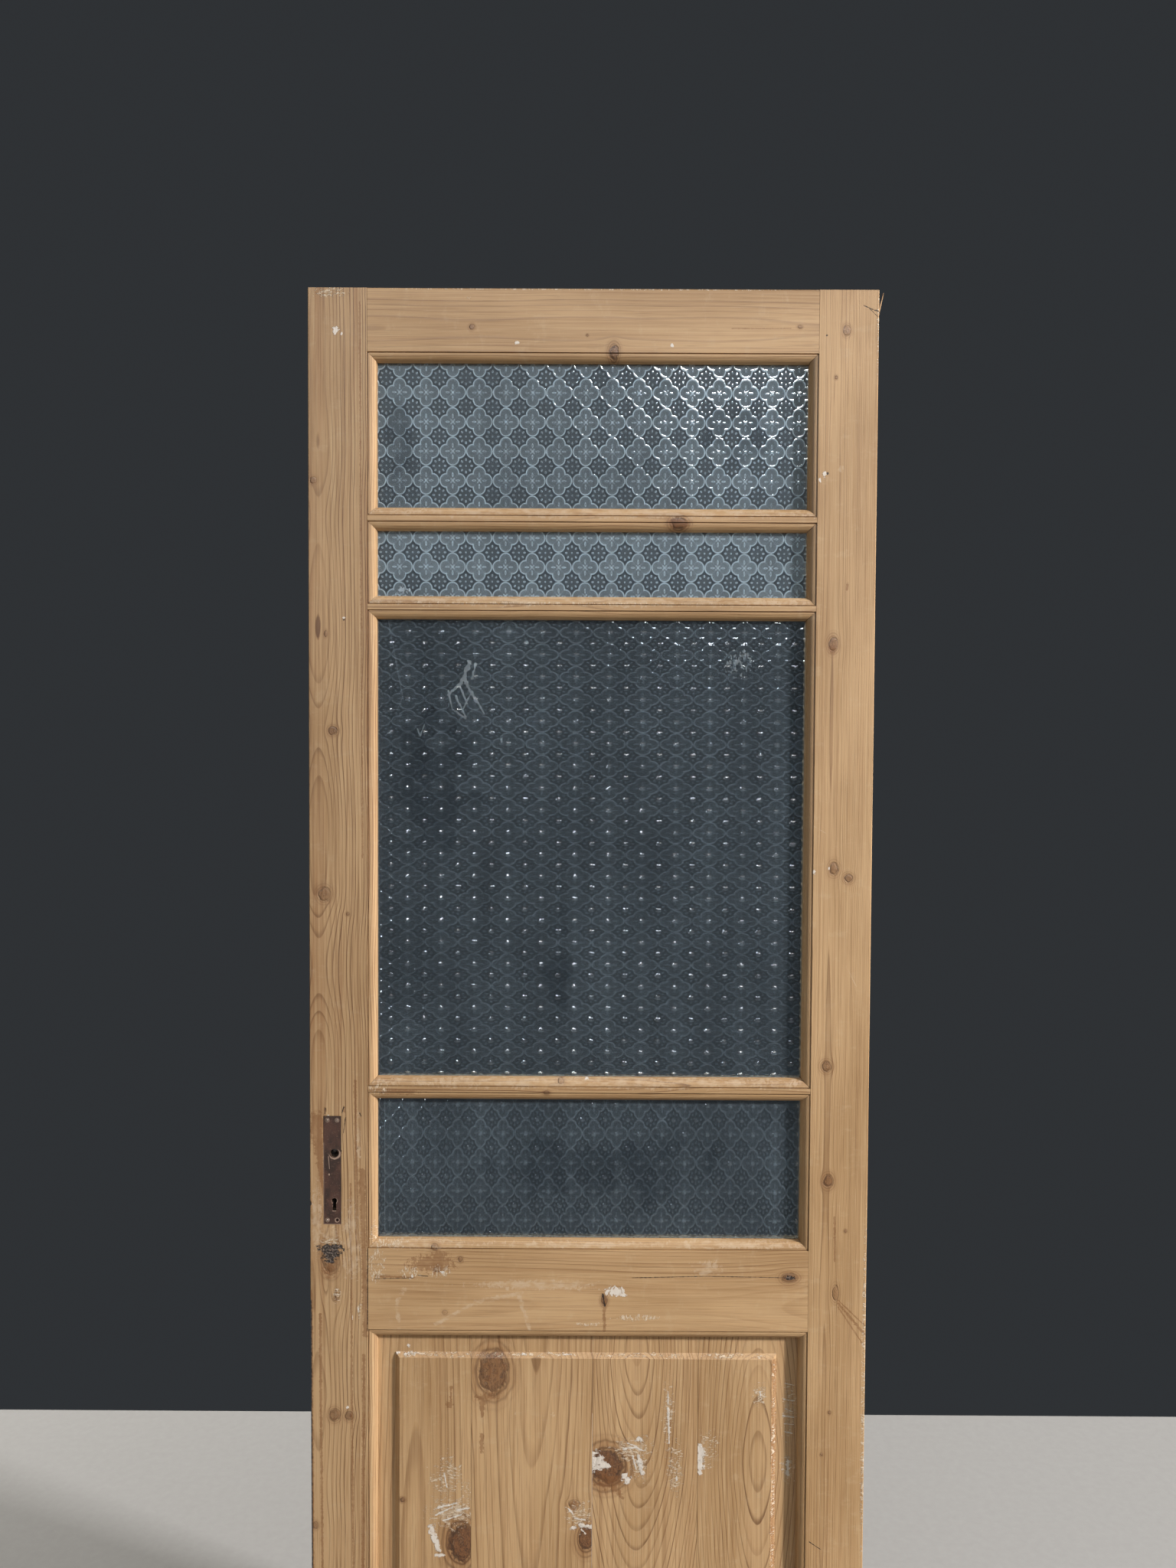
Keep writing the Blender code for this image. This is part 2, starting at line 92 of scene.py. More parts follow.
# Colours of what lies on it. Old paint also makes a painted glint, and cracks painted shade in
# holes
STAIN = (0.225, 0.092, 0.029)
PALE_MARK = (0.650, 0.500, 0.350)
FLECK = (0.760, 0.620, 0.455)
OLD_PAINT_AND_GLINT = (0.790, 0.710, 0.620)
CRACK_AND_HOLE_SHADE = (0.030, 0.017, 0.012)
CHAR = (0.020, 0.016, 0.015)
ASH = (0.26, 0.21, 0.18)

# Colours of iron and steel
IRON = (0.074, 0.030, 0.018)
DARK_IRON = (0.034, 0.015, 0.009)
RUST = (0.170, 0.090, 0.055)
RUBBED_IRON = (0.200, 0.165, 0.140)
# Pale burrs, and the painted highlights on the plate's rims and edges
BURR_AND_HIGHLIGHT = (0.420, 0.290, 0.215)
STEEL = (0.34, 0.27, 0.22)
DARK_STEEL = (0.12, 0.075, 0.055)

# Colours of glass and of its dust, which also paints reflections on the figure's ridges
GLASS_TINT = (0.055, 0.080, 0.110)
DUST_AND_SHEEN = (0.76, 0.91, 1.0)

# Colours of floor and room
FLOOR_PALE = (0.36, 0.35, 0.335)
FLOOR_DARK = (0.31, 0.30, 0.285)
ROOM_WALLS = (0.083, 0.080, 0.074)
ROOM_CEILING = (0.343, 0.320, 0.262)
WALL_BEHIND = (0.0285, 0.0315, 0.0350)

# Camera of the photograph
EYE = (-0.4009, -1.7565, 0.4675)
GAZE = (87.995, -0.299, 0.110)
LENS = 37.5
FILM = 36.0


# Sums on values that change over a surface
def feed(tree, socket, value):
    if isinstance(value, Reading):
        tree.links.new(value.socket, socket)
    else:
        socket.default_value = value


class Reading:
    """A value that changes over the surface, to write sums with."""

    def __init__(self, tree, socket):
        self.tree = tree
        self.socket = socket

    def sum(self, operation, *others, clamp=False):
        node = self.tree.nodes.new("ShaderNodeMath")
        node.operation = operation
        node.use_clamp = clamp
        for socket, value in zip(node.inputs, (self, *others)):
            feed(self.tree, socket, value)
        return Reading(self.tree, node.outputs[0])

    def arrow(self, operation, *others, out="Vector"):
        """The same for places and directions."""
        node = self.tree.nodes.new("ShaderNodeVectorMath")
        node.operation = operation
        for socket, value in zip(node.inputs, (self, *others)):
            feed(self.tree, socket, value)
        return Reading(self.tree, node.outputs[out])

    def __add__(self, other):
        return self.sum("ADD", other)

    def __sub__(self, other):
        return self.sum("SUBTRACT", other)

    def __mul__(self, other):
        return self.sum("MULTIPLY", other)

    def __truediv__(self, other):
        return self.sum("DIVIDE", other)

    def flip(self):
        """One less this."""
        return self * -1.0 + 1.0

    def least(self, other):
        return self.sum("MINIMUM", other)

    def most(self, other):
        return self.sum("MAXIMUM", other)

    def fade(self, start, end):
        """Nought at start and one at end, smooth between them."""
        node = self.tree.nodes.new("ShaderNodeMapRange")
        node.interpolation_type = "SMOOTHSTEP"
        for name, value in (("Value", self), ("From Min", start), ("From Max", end)):
            feed(self.tree, node.inputs[name], value)
        return Reading(self.tree, node.outputs["Result"])

    def stretch(self, across, deep, along):
        return self.arrow("MULTIPLY", (across, deep, along))

    def noise(self, detail, rough):
        node = self.tree.nodes.new("ShaderNodeTexNoise")
        feed(self.tree, node.inputs["Vector"], self)
        for name, value in (("Scale", 1.0), ("Detail", detail), ("Roughness", rough)):
            node.inputs[name].default_value = value
        return Reading(self.tree, node.outputs["Fac"])

    def parts(self):
        node = self.tree.nodes.new("ShaderNodeSeparateXYZ")
        feed(self.tree, node.inputs[0], self)
        return [Reading(self.tree, out) for out in node.outputs]

    def blend(self, other, amount):
        """Mix this colour with another."""
        node = self.tree.nodes.new("ShaderNodeMix")
        node.data_type = "RGBA"
        feed(self.tree, node.inputs["Factor"], amount)
        feed(self.tree, node.inputs[6], self)
        feed(self.tree, node.inputs[7], other if isinstance(other, Reading) else (*other, 1.0))
        return Reading(self.tree, node.outputs[2])


def together(tree, across, deep, along):
    node = tree.nodes.new("ShaderNodeCombineXYZ")
    for socket, value in zip(node.inputs, (across, deep, along)):
        feed(tree, socket, value)
    return Reading(tree, node.outputs[0])


def plain_colour(tree, colour):
    node = tree.nodes.new("ShaderNodeRGB")
    node.outputs[0].default_value = (*colour, 1.0)
    return Reading(tree, node.outputs[0])


def make_group(name, takes, gives, wire):
    """Build a node group. takes and gives are (name, kind of socket)."""
    tree = bpy.data.node_groups.new(name, "ShaderNodeTree")
    for label, kind in takes:
        tree.interface.new_socket(name=label, in_out="INPUT", socket_type=f"NodeSocket{kind}")
    for label, kind in gives:
        tree.interface.new_socket(name=label, in_out="OUTPUT", socket_type=f"NodeSocket{kind}")
    entry = tree.nodes.new("NodeGroupInput")
    way_out = tree.nodes.new("NodeGroupOutput")
    results = wire(tree, *[Reading(tree, entry.outputs[label]) for label, _ in takes])
    for (label, _), value in zip(gives, results):
        feed(tree, way_out.inputs[label], value)
    return tree


def use_group(tree, group, values):
    """Put a group in a material with its own values and give back its outputs by name."""
    node = tree.nodes.new("ShaderNodeGroup")
    node.node_tree = group
    for label, value in values.items():
        feed(tree, node.inputs[label], value)
    return {out.name: Reading(tree, out) for out in node.outputs}


# Effects that the materials share
def wire_knot(tree, place, centre, size, reach, own_weight, shift, near, weight):
    """Bend the grain round a knot. near is how far the nearest knot is, one being its rim.
    A knot with a weight below nought only bends the grain."""
    off = place.arrow("SUBTRACT", centre).arrow("MULTIPLY", size)
    distance = off.arrow("LENGTH", out="Value")
    aside = off.arrow("DOT_PRODUCT", (1.0, 0.0, 0.0), out="Value") * reach
    seen = distance + own_weight.sum("LESS_THAN", 0.0) * FAR
    closer = seen.sum("LESS_THAN", near)
    weight = weight + (own_weight - weight) * closer
    return shift - aside / (distance * distance + KNOT_EASE), near.least(seen), weight


def wire_mark(tree, place, centre, size, ragged, mask):
    """A rounded mark with a ragged edge."""
    distance = place.arrow("SUBTRACT", centre).arrow("MULTIPLY", size).arrow("LENGTH", out="Value")
    return (mask.most((distance + ragged).fade(*MARK_EDGE)),)


def wire_stroke(tree, place, start, run, per, width, taper, ragged, mask):
    """A stroke from a start along a run, such as a crack or a scratch, narrower towards its end."""
    deep = place.arrow("SUBTRACT", start).parts()[1]
    off = place.arrow("SUBTRACT", start).arrow("MULTIPLY", (1.0, 0.0, 1.0))
    turn = off.arrow("DOT_PRODUCT", per, out="Value").sum("ADD", 0.0, clamp=True)
    node = tree.nodes.new("ShaderNodeVectorMath")
    node.operation = "SCALE"
    feed(tree, node.inputs[0], run)
    feed(tree, node.inputs["Scale"], turn)
    away = off.arrow("SUBTRACT", Reading(tree, node.outputs[0])).arrow("LENGTH", out="Value")
    wide = (turn * taper * -1.0 + 1.0) * width
    return (mask.most((away / wide + ragged).fade(*STROKE_EDGE) * deep.fade(SKIN + 0.001, SKIN)),)


def wire_rings(tree, place, shift, pith, gap, flame, bow, seed):
    """Year rings round a pith line, cut by the plank's faces, and fine fibres between them."""
    across, deep, along = place.parts()
    pith_across, pith_deep, flame_length = pith.parts()
    bow_place, bow_depth, _ = bow.parts()
    slow = together(tree, seed, deep * 2.0, along / flame_length).noise(1.0, 0.4)
    ripple = place.stretch(26.0, 26.0, 5.0).noise(2.0, 0.55) - 0.5
    wiggle = place.stretch(150.0, 150.0, 34.0).noise(2.0, 0.6) - 0.5
    from_bow = along - bow_place
    rise = (from_bow * from_bow + BOW_ROUND ** 2).sum("SQRT") - BOW_ROUND
    height = deep + pith_deep + (slow - 0.5) * flame + rise * bow_depth
    aside = across + shift - pith_across + ripple * RIPPLE + wiggle * WIGGLE
    radius = (aside * aside + height * height).sum("SQRT")
    years = radius / gap
    uneven = together(tree, years * 0.33, seed, 0.0).noise(1.0, 0.5) - 0.5
    years = years + uneven * 1.8
    part = years.sum("FRACT")
    strength = together(tree, years.sum("FLOOR") * 0.77, seed, 3.0).noise(0.0, 0.5).fade(0.32, 0.68)
    patchy = place.stretch(40.0, 40.0, 9.0).noise(2.0, 0.6).fade(0.25, 0.60) * 0.55 + 0.45
    late = part.fade(0.66, 0.93) * part.fade(1.0, 0.955) * (strength * 0.75 + 0.25) * patchy
    early = part.fade(0.0, 1.0)
    fibre = place.stretch(900.0, 900.0, 14.0).noise(3.0, 0.6) - 0.5
    return late, early, fibre


def wire_pine(tree, late, early, fibre, near, weight, place, tone, redness, lines):
    """Colour, gloss and height of bare pine from its rings, fibres and knots."""
    cloud = place.stretch(9.0, 9.0, 2.6).noise(3.0, 0.55)
    streak = place.stretch(75.0, 75.0, 1.6).noise(3.0, 0.55)
    scuff = place.stretch(34.0, 34.0, 60.0).noise(4.0, 0.7)
    vein = place.stretch(310.0, 310.0, 4.0).noise(3.0, 0.65)
    wood = plain_colour(tree, WOOD).blend(DARKER_WOOD, cloud.fade(0.34, 0.68) * 0.85)
    wood = wood.blend(RED_STREAK, streak.fade(0.48, 0.78) * redness)
    wood = wood.blend(SCUFFED_WOOD, scuff.fade(0.54, 0.74) * 0.30)
    wood = wood.blend(DARK_VEIN, vein.fade(0.50, 0.66) * (lines * 0.48 + 0.10))
    wood = wood.blend(PALE_VEIN, vein.fade(0.48, 0.32) * (lines * 0.32 + 0.08))
    wood = wood.blend(LATE_WOOD, late * lines * 1.15)
    wood = wood.blend(EARLY_WOOD, early.flip() * 0.18)
    wood = wood.blend(DARK_FIBRE, fibre.fade(0.02, 0.26) * 0.50)
    wood = wood.blend(PALE_FIBRE, fibre.fade(-0.04, -0.30) * 0.48)
    rough = place.stretch(210.0, 210.0, 130.0).noise(3.0, 0.65)
    lump = place.stretch(70.0, 70.0, 48.0).noise(1.0, 0.5)
    wavy = near + (rough - 0.5) * 0.85 + (lump - 0.5) * 0.85
    halo = wavy.fade(2.4, 0.95)
    core = wavy.fade(1.10, 0.84)
    rim = wavy.fade(0.66, 0.94) * wavy.fade(1.16, 1.00) * (lump.fade(0.30, 0.60) * 0.6 + 0.4)
    around = ((near * 15.0 + lump * 5.0).sum("SINE") * 0.5 + 0.5).sum("POWER", 2.2)
    around = around * near.fade(2.3, 1.1)
    grown = ((wavy * 30.0 + rough * 10.0).sum("SINE") * 0.5 + 0.5) * rough.fade(0.34, 0.60)
    split = (near * 2.2 + rough * 3.2 + lump * 6.0).sum("FRACT").fade(0.88, 0.97)
    wood = wood.blend(KNOT_HALO, halo * (weight * 0.42 + 0.14))
    wood = wood.blend(KNOT_CURLS, around * core.flip() * (weight * 0.60 + 0.18))
    wood = wood.blend(KNOT_CORE, core * (weight * 0.62 + 0.24))
    wood = wood.blend(KNOT_RINGS, core * grown * (weight * 0.90))
    wood = wood.blend(KNOT_CRUMBS, core * rough.fade(0.56, 0.70) * 0.40)
    wood = wood.blend(KNOT_SPLIT, core * split * (weight * 0.60))
    wood = wood.blend(KNOT_RIM, rim * (weight * 0.50 + 0.18))
    wood = wood.blend(AGED_WOOD, tone)
    gloss = late * -0.10 + core * -0.12 + 0.64 + fibre * 0.12
    height = late * 0.16 + fibre * 0.16 + vein * 0.30 - rim * 0.5
    height = height + core * rough * 0.5 - core * split * 0.6
    return wood, gloss, height


def wire_wear(tree, wood, gloss, height, place, stain, pale, flecks, paint, crack, char):
    """Lay stains, pale scuffs and bands, paint flecks, old paint, cracks and scorching over bare
    wood.
    Old paint also makes one painted glint, and cracks the painted shade inside the plate's holes.
    """
    grit = place.stretch(170.0, 170.0, 520.0).noise(3.0, 0.7)
    clump = place.stretch(60.0, 60.0, 75.0).noise(2.0, 0.6)
    worn = place.stretch(130.0, 130.0, 60.0).noise(3.0, 0.65)
    speck = (grit + clump * 0.30).fade(0.665, 0.715) * flecks
    wood = wood.blend(STAIN, stain * (worn * 0.9 + 0.1))
    wood = wood.blend(PALE_MARK, pale * worn.fade(0.34, 0.66) * 0.55)
    wood = wood.blend(FLECK, speck * 0.85)
    wood = wood.blend(OLD_PAINT_AND_GLINT, paint * (clump.fade(0.25, 0.50) * 0.3 + 0.7))
    wood = wood.blend(CRACK_AND_HOLE_SHADE, crack * 0.9)
    ash = place.stretch(300.0, 300.0, 420.0).noise(2.0, 0.7).fade(0.46, 0.58)
    wood = wood.blend(plain_colour(tree, CHAR).blend(ASH, ash * 0.7), char * 0.93)
    gloss = gloss + paint * -0.12 + pale * 0.08
    height = height + paint * 0.9 + speck * 0.6 - crack * 1.8 - char * ash.flip() * 1.6
    return wood, gloss, height


def floats(*labels):
    return [(label, "Float") for label in labels]


def vectors(*labels):
    return [(label, "Vector") for label in labels]


SURFACE = [("Colour", "Color"), *floats("Gloss", "Height")]
GRAIN = floats("Late Wood", "Early Wood", "Fibre")
BENT = floats("Shift", "Near", "Weight")
SPOT = vectors("Place", "Centre", "Size")
MASK = floats("Mask")
KNOT = make_group("knot", [*SPOT, *floats("Reach", "Own Weight"), *BENT], BENT, wire_knot)
MARK = make_group("mark", [*SPOT, *floats("Ragged"), *MASK], MASK, wire_mark)
STROKE = make_group("stroke", [*vectors("Place", "Start", "Run", "Per"),
                               *floats("Width", "Taper", "Ragged"), *MASK], MASK, wire_stroke)
RINGS = make_group("year rings", [*vectors("Place"), *floats("Shift"), *vectors("Pith"),
                                  *floats("Gap", "Flame"), *vectors("Bow"), *floats("Seed")],
                   GRAIN, wire_rings)
PINE = make_group("bare pine", [*GRAIN, *floats("Near", "Weight"), *vectors("Place"),
                                *floats("Tone", "Redness", "Lines")], SURFACE, wire_pine)
WEAR = make_group("wear", [*SURFACE, *vectors("Place"),
                           *floats("Stain", "Pale", "Flecks", "Paint", "Crack", "Char")],
                  SURFACE, wire_wear)


def new_material(name):
    mat = bpy.data.materials.new(name)
    mat.use_nodes = True
    tree = mat.node_tree
    return mat, tree, tree.nodes["Principled BSDF"]


def object_place(tree):
    return Reading(tree, tree.nodes.new("ShaderNodeTexCoord").outputs["Object"])


def bump(tree, shader, height, depth):
    node = tree.nodes.new("ShaderNodeBump")
    node.inputs["Strength"].default_value = 1.0
    node.inputs["Distance"].default_value = depth
    feed(tree, node.inputs["Height"], height)
    tree.links.new(node.outputs["Normal"], shader.inputs["Normal"])


def on_plank(upright, x, z, y=FRONT):
    """A point of the leaf as (across, deep, along) of a plank."""
    return (x, y, z) if upright else (z, y, x)


def knots_on(tree, place, upright, knots):
    """knots are (x, z, half width, half height, how dark). Gives the grain's shift and how near
    and how dark the nearest knot is."""
    shift, near, weight = 0.0, FAR, 0.0
    for x, z, wide, high, dark in knots:
        out = use_group(tree, KNOT, {
            "Place": place, "Centre": on_plank(upright, x, z),
            "Reach": (wide if upright else high) * KNOT_PULL,
            "Size": on_plank(upright, 1 / wide, 1 / high, 0.0), "Own Weight": dark,
            "Shift": shift, "Near": near, "Weight": weight})
        shift, near, weight = out["Shift"], out["Near"], out["Weight"]
    return shift, near, weight


def marks_on(tree, place, upright, ragged, marks):
    """A mark is (x, z, half width, half height), with its depth if that isn't a skin's. A stroke is
    ((x, z), (x, z), half width), with the share of its width that it loses by its end."""
    mask = 0.0
    for mark in marks:
        if not isinstance(mark[0], tuple):
            x, z, wide, high, *deep = mark
            size = on_plank(upright, 1 / wide, 1 / high, 1 / (deep[0] if deep else SKIN))
            mask = use_group(tree, MARK, {
                "Place": place, "Centre": on_plank(upright, x, z), "Ragged": ragged, "Mask": mask,
                "Size": size})["Mask"]
            continue
        start, end, width, *taper = mark
        run = Vector(on_plank(upright, *end)) - Vector(on_plank(upright, *start))
        mask = use_group(tree, STROKE, {
            "Place": place, "Start": on_plank(upright, *start), "Run": run,
            "Per": run / run.length_squared, "Width": width,
            "Taper": taper[0] if taper else STROKE_TAPER, "Ragged": ragged, "Mask": mask})["Mask"]
    return mask


def pine_material(name, upright, pith, gap, flame, seed, knots=(), bow=(0.0, 0.0),
                  flame_length=0.28, tone=0.0, redness=0.35, lines=0.55, stain=(), pale=(),
                  flecks=(), paint=(), crack=(), char=()):
    """Bare pine for one member. pith is the centre of its year rings, across and how far before the
    leaf's middle, gap how far apart they are, flame how far they wander and flame_length how
    slowly. bow is where the grain bows and how much. tone, redness and lines are shares."""
    mat, tree, shader = new_material(name)
    place = object_place(tree)
    if not upright:
        x, y, z = place.parts()
        place = together(tree, z, y, x)
    shift, near, weight = knots_on(tree, place, upright, knots)
    rings = use_group(tree, RINGS, {
        "Place": place, "Shift": shift, "Pith": (*pith, flame_length), "Gap": gap, "Flame": flame,
        "Bow": (*bow, 0.0), "Seed": seed})
    pine = use_group(tree, PINE, {
        **rings, "Near": near, "Weight": weight, "Place": place, "Tone": tone, "Redness": redness,
        "Lines": lines})
    rough_edge = (place.stretch(150.0, 150.0, 210.0).noise(4.0, 0.75) - 0.5) * 4.2
    masks = {"Stain": stain, "Pale": pale, "Flecks": flecks, "Paint": paint, "Crack": crack,
             "Char": char}
    for label, marks in masks.items():
        masks[label] = marks_on(tree, place, upright, rough_edge, marks)
    worn = use_group(tree, WEAR, {**pine, "Place": place, **masks})
    feed(tree, shader.inputs["Base Color"], worn["Colour"])
    feed(tree, shader.inputs["Roughness"], worn["Gloss"])
    shader.inputs["Specular IOR Level"].default_value = 0.25
    bump(tree, shader, worn["Height"], WOOD_BUMP)
    return mat


# Burrs round the plate's holes and nails, paler as painted highlights where they catch the light,
# painted highlights along its left and bottom edges and the keyhole's foot, and scratches, and
# then the hollows inside the burrs
PLATE_BURRS_AND_HIGHLIGHTS = [(-0.7644, -0.1262, 0.0084, 0.008), (-0.765, -0.1944, 0.0046, 0.0046),
              (-0.761, -0.2223, 0.0034, 0.0034), (-0.775, -0.0773, 0.0032, 0.0032),
              (-0.761, -0.0773, 0.0032, 0.0032), (-0.775, -0.2223, 0.0032, 0.0032),
              ((-0.7674, -0.209), (-0.7626, -0.209), 0.0007),
              ((-0.7674, -0.202), (-0.764, -0.202), 0.0006),
              ((-0.78, -0.2281), (-0.756, -0.2281), 0.0004),
              ((-0.7803, -0.11), (-0.7803, -0.228), 0.0004),
              ((-0.7735, -0.13), (-0.772, -0.148), 0.0005), (-0.7725, -0.156, 0.0012, 0.0014)]
PLATE_HOLLOWS = [(-0.7653, -0.1247, 0.0074, 0.007), (-0.7651, -0.194, 0.0041, 0.0041),
                 (-0.7608, -0.2221, 0.0024, 0.0024), (-0.7749, -0.0772, 0.0026, 0.0026),
                 (-0.7609, -0.0772, 0.0026, 0.0026), (-0.7749, -0.2222, 0.0026, 0.0026)]


def iron_material():
    """Brown rusted iron, rubbed smoother and greyer in places."""
    mat, tree, shader = new_material("rusted_iron")
    place = object_place(tree)
    scale = place.stretch(300.0, 300.0, 300.0).noise(4.0, 0.65)
    cloud = place.stretch(60.0, 60.0, 38.0).noise(3.0, 0.55)
    iron = plain_colour(tree, IRON).blend(DARK_IRON, cloud.fade(0.38, 0.62))
    iron = iron.blend(RUST, scale.fade(0.55, 0.72) * 0.7)
    iron = iron.blend(RUBBED_IRON, scale.fade(0.40, 0.28) * cloud.fade(0.50, 0.38) * 0.8)
    ragged = (scale - 0.5) * 0.5
    # The pale rings and edge lines are painted highlights on the burrs and edges.
    burrs_and_highlights = marks_on(tree, place, True, ragged, PLATE_BURRS_AND_HIGHLIGHTS)
    burrs_and_highlights = burrs_and_highlights - marks_on(tree, place, True, 0.0, PLATE_HOLLOWS)
    iron = iron.blend(BURR_AND_HIGHLIGHT, burrs_and_highlights.most(0.0) * 0.85)
    feed(tree, shader.inputs["Base Color"], iron)
    feed(tree, shader.inputs["Roughness"], scale * 0.35 + 0.36)
    shader.inputs["Metallic"].default_value = 0.35
    bump(tree, shader, scale + cloud * 0.6, IRON_BUMP)
    return mat


def steel_material():
    """Dull nail heads, rubbed bright on top."""
    mat, tree, shader = new_material("worn_steel")
    scale = object_place(tree).stretch(900.0, 900.0, 900.0).noise(3.0, 0.6)
    steel = plain_colour(tree, STEEL).blend(DARK_STEEL, scale.fade(0.42, 0.60))
    feed(tree, shader.inputs["Base Color"], steel)
    feed(tree, shader.inputs["Roughness"], scale * 0.3 + 0.30)
    shader.inputs["Metallic"].default_value = 0.75
    bump(tree, shader, scale, STEEL_BUMP)
    return mat


# Pressed figure of the glass, in shares of its repeat. A quatrefoil lies on the repeat's own
# corners, and a flower of eight drops between them.
LOBE_OFF, LOBE_R, RIDGE = 0.247, 0.226, 0.036
GROOVE_OFF, GROOVE = 0.066, 0.026
INNER_OFF, INNER = 0.052, 0.014
PETAL_OFF, PETAL_THIN, PETAL_R = 0.195, 2.9, 0.118
SEED_OFF, SEED_R = 0.060, 0.032
DROP_RING, DROP_THIN, DROP_R = 0.212, 1.5, 0.062
HUB_R = 0.040
DOME_R = 0.100
# How high the small parts stand beside the quatrefoils' ridges
LOW_RISE = 0.9
# How far the glass itself waves, in metres
WAVE = 0.00006
GLASS_IOR = 1.52
# How much dust a wiped place has lost, how pale smears and scratches are, and how dull smears and
# domes are
WIPED, SMEARED, SCRATCHED = 0.42, 0.78, 0.9
SMEAR_GLOSS, DOME_GLOSS = 0.3, 0.12


def figure_height(x, z, wide, high):
    """Height of the pressed figure, nought to one, at places given in metres as arrays."""
    u = np.abs(x / wide - np.round(x / wide))
    v = np.abs(z / high - np.round(z / high))
    lobes = np.minimum(np.hypot(u - LOBE_OFF, v), np.hypot(u, v - LOBE_OFF)) - LOBE_R
    ridge = np.clip(1 - np.abs(lobes) / RIDGE, 0, 1)
    petals = [np.hypot(u - PETAL_OFF, v * PETAL_THIN), np.hypot(u * PETAL_THIN, v - PETAL_OFF)]
    petals = np.minimum(*petals) / PETAL_R
    seeds = np.hypot(u - SEED_OFF, v - SEED_OFF) / SEED_R
    a, b = 0.5 - u, 0.5 - v
    c, d = (a + b) * math.sqrt(0.5), np.abs(a - b) * math.sqrt(0.5)
    drops = np.minimum.reduce([np.hypot(along - DROP_RING, aside * DROP_THIN)
                               for along, aside in ((a, b), (b, a), (c, d))])
    hub = np.hypot(a, b) / HUB_R
    low = np.clip(1 - np.minimum.reduce([petals, seeds, drops / DROP_R, hub]), 0, 1)
    rise = np.maximum(ridge, low * LOW_RISE)
    return rise * rise * (3 - 2 * rise)


def wire_figure(tree, place, repeat):
    """The same height for the fine part of the relief, how much dust has stayed on each part, with
    the ridges and rims paler as painted reflections and a groove beside the ridges darker as
    painted shade, and the domes of the hubs, which catch the light."""
    u, _, v = place.arrow("DIVIDE", repeat).parts()
    u, v = u.sum("PINGPONG", 0.5), v.sum("PINGPONG", 0.5)

    def apart(first, second, off_first, off_second, thin_first=1.0, thin_second=1.0):
        first = (first - off_first) * thin_first
        second = (second - off_second) * thin_second
        return together(tree, first, second, 0.0).arrow("LENGTH", out="Value")

    lobes = apart(u, v, LOBE_OFF, 0.0).least(apart(u, v, 0.0, LOBE_OFF)) - LOBE_R
    ridge = (lobes.sum("ABSOLUTE") / -RIDGE + 1.0).most(0.0)
    petals = apart(u, v, PETAL_OFF, 0.0, 1.0, PETAL_THIN)
    petals = petals.least(apart(u, v, 0.0, PETAL_OFF, PETAL_THIN, 1.0)) / PETAL_R
    seeds = apart(u, v, SEED_OFF, SEED_OFF) / SEED_R
    a, b = u * -1.0 + 0.5, v * -1.0 + 0.5
    c, d = (a + b) * math.sqrt(0.5), (a - b) * math.sqrt(0.5)
    drops = apart(a, b, DROP_RING, 0.0, 1.0, DROP_THIN)
    drops = drops.least(apart(b, a, DROP_RING, 0.0, 1.0, DROP_THIN))
    drops = drops.least(apart(c, d, DROP_RING, 0.0, 1.0, DROP_THIN)) / DROP_R
    low = petals.least(seeds).least(drops).least(apart(a, b, 0.0, 0.0) / HUB_R).flip().most(0.0)
    height = ridge.most(low * LOW_RISE).fade(0.0, 1.0)
    # Painted light in the dust: the ridges, a ring inside each quatrefoil and the rims of the small
    # parts are paler as painted reflections, and a groove beside each ridge, where the relief has
    # none, is darker as painted shade.
    groove = ((lobes - GROOVE_OFF).sum("ABSOLUTE") / -GROOVE + 1.0).most(0.0).fade(0.0, 0.9)
    ground = lobes.fade(0.02, -0.02) * 0.15 + 0.14
    inner = ((lobes + INNER_OFF).sum("ABSOLUTE") / -INNER + 1.0).most(0.0)
    dust = (ground - groove * 0.14).most(ridge.fade(0.05, 0.70)).most(inner.fade(0.0, 0.9) * 0.55)
    dust = dust.most(low.fade(0.0, 0.40) * low.fade(1.0, 0.55) * 0.85)
    from_hub = apart(u, v, 0.0, 0.0).least(apart(a, b, 0.0, 0.0)) / DOME_R
    domes = (from_hub * from_hub).flip().most(0.0)
    return height, dust, domes


FIGURE = make_group("pressed figure", vectors("Place", "Repeat"),
                    floats("Height", "Dust And Painted Light", "Domes"), wire_figure)


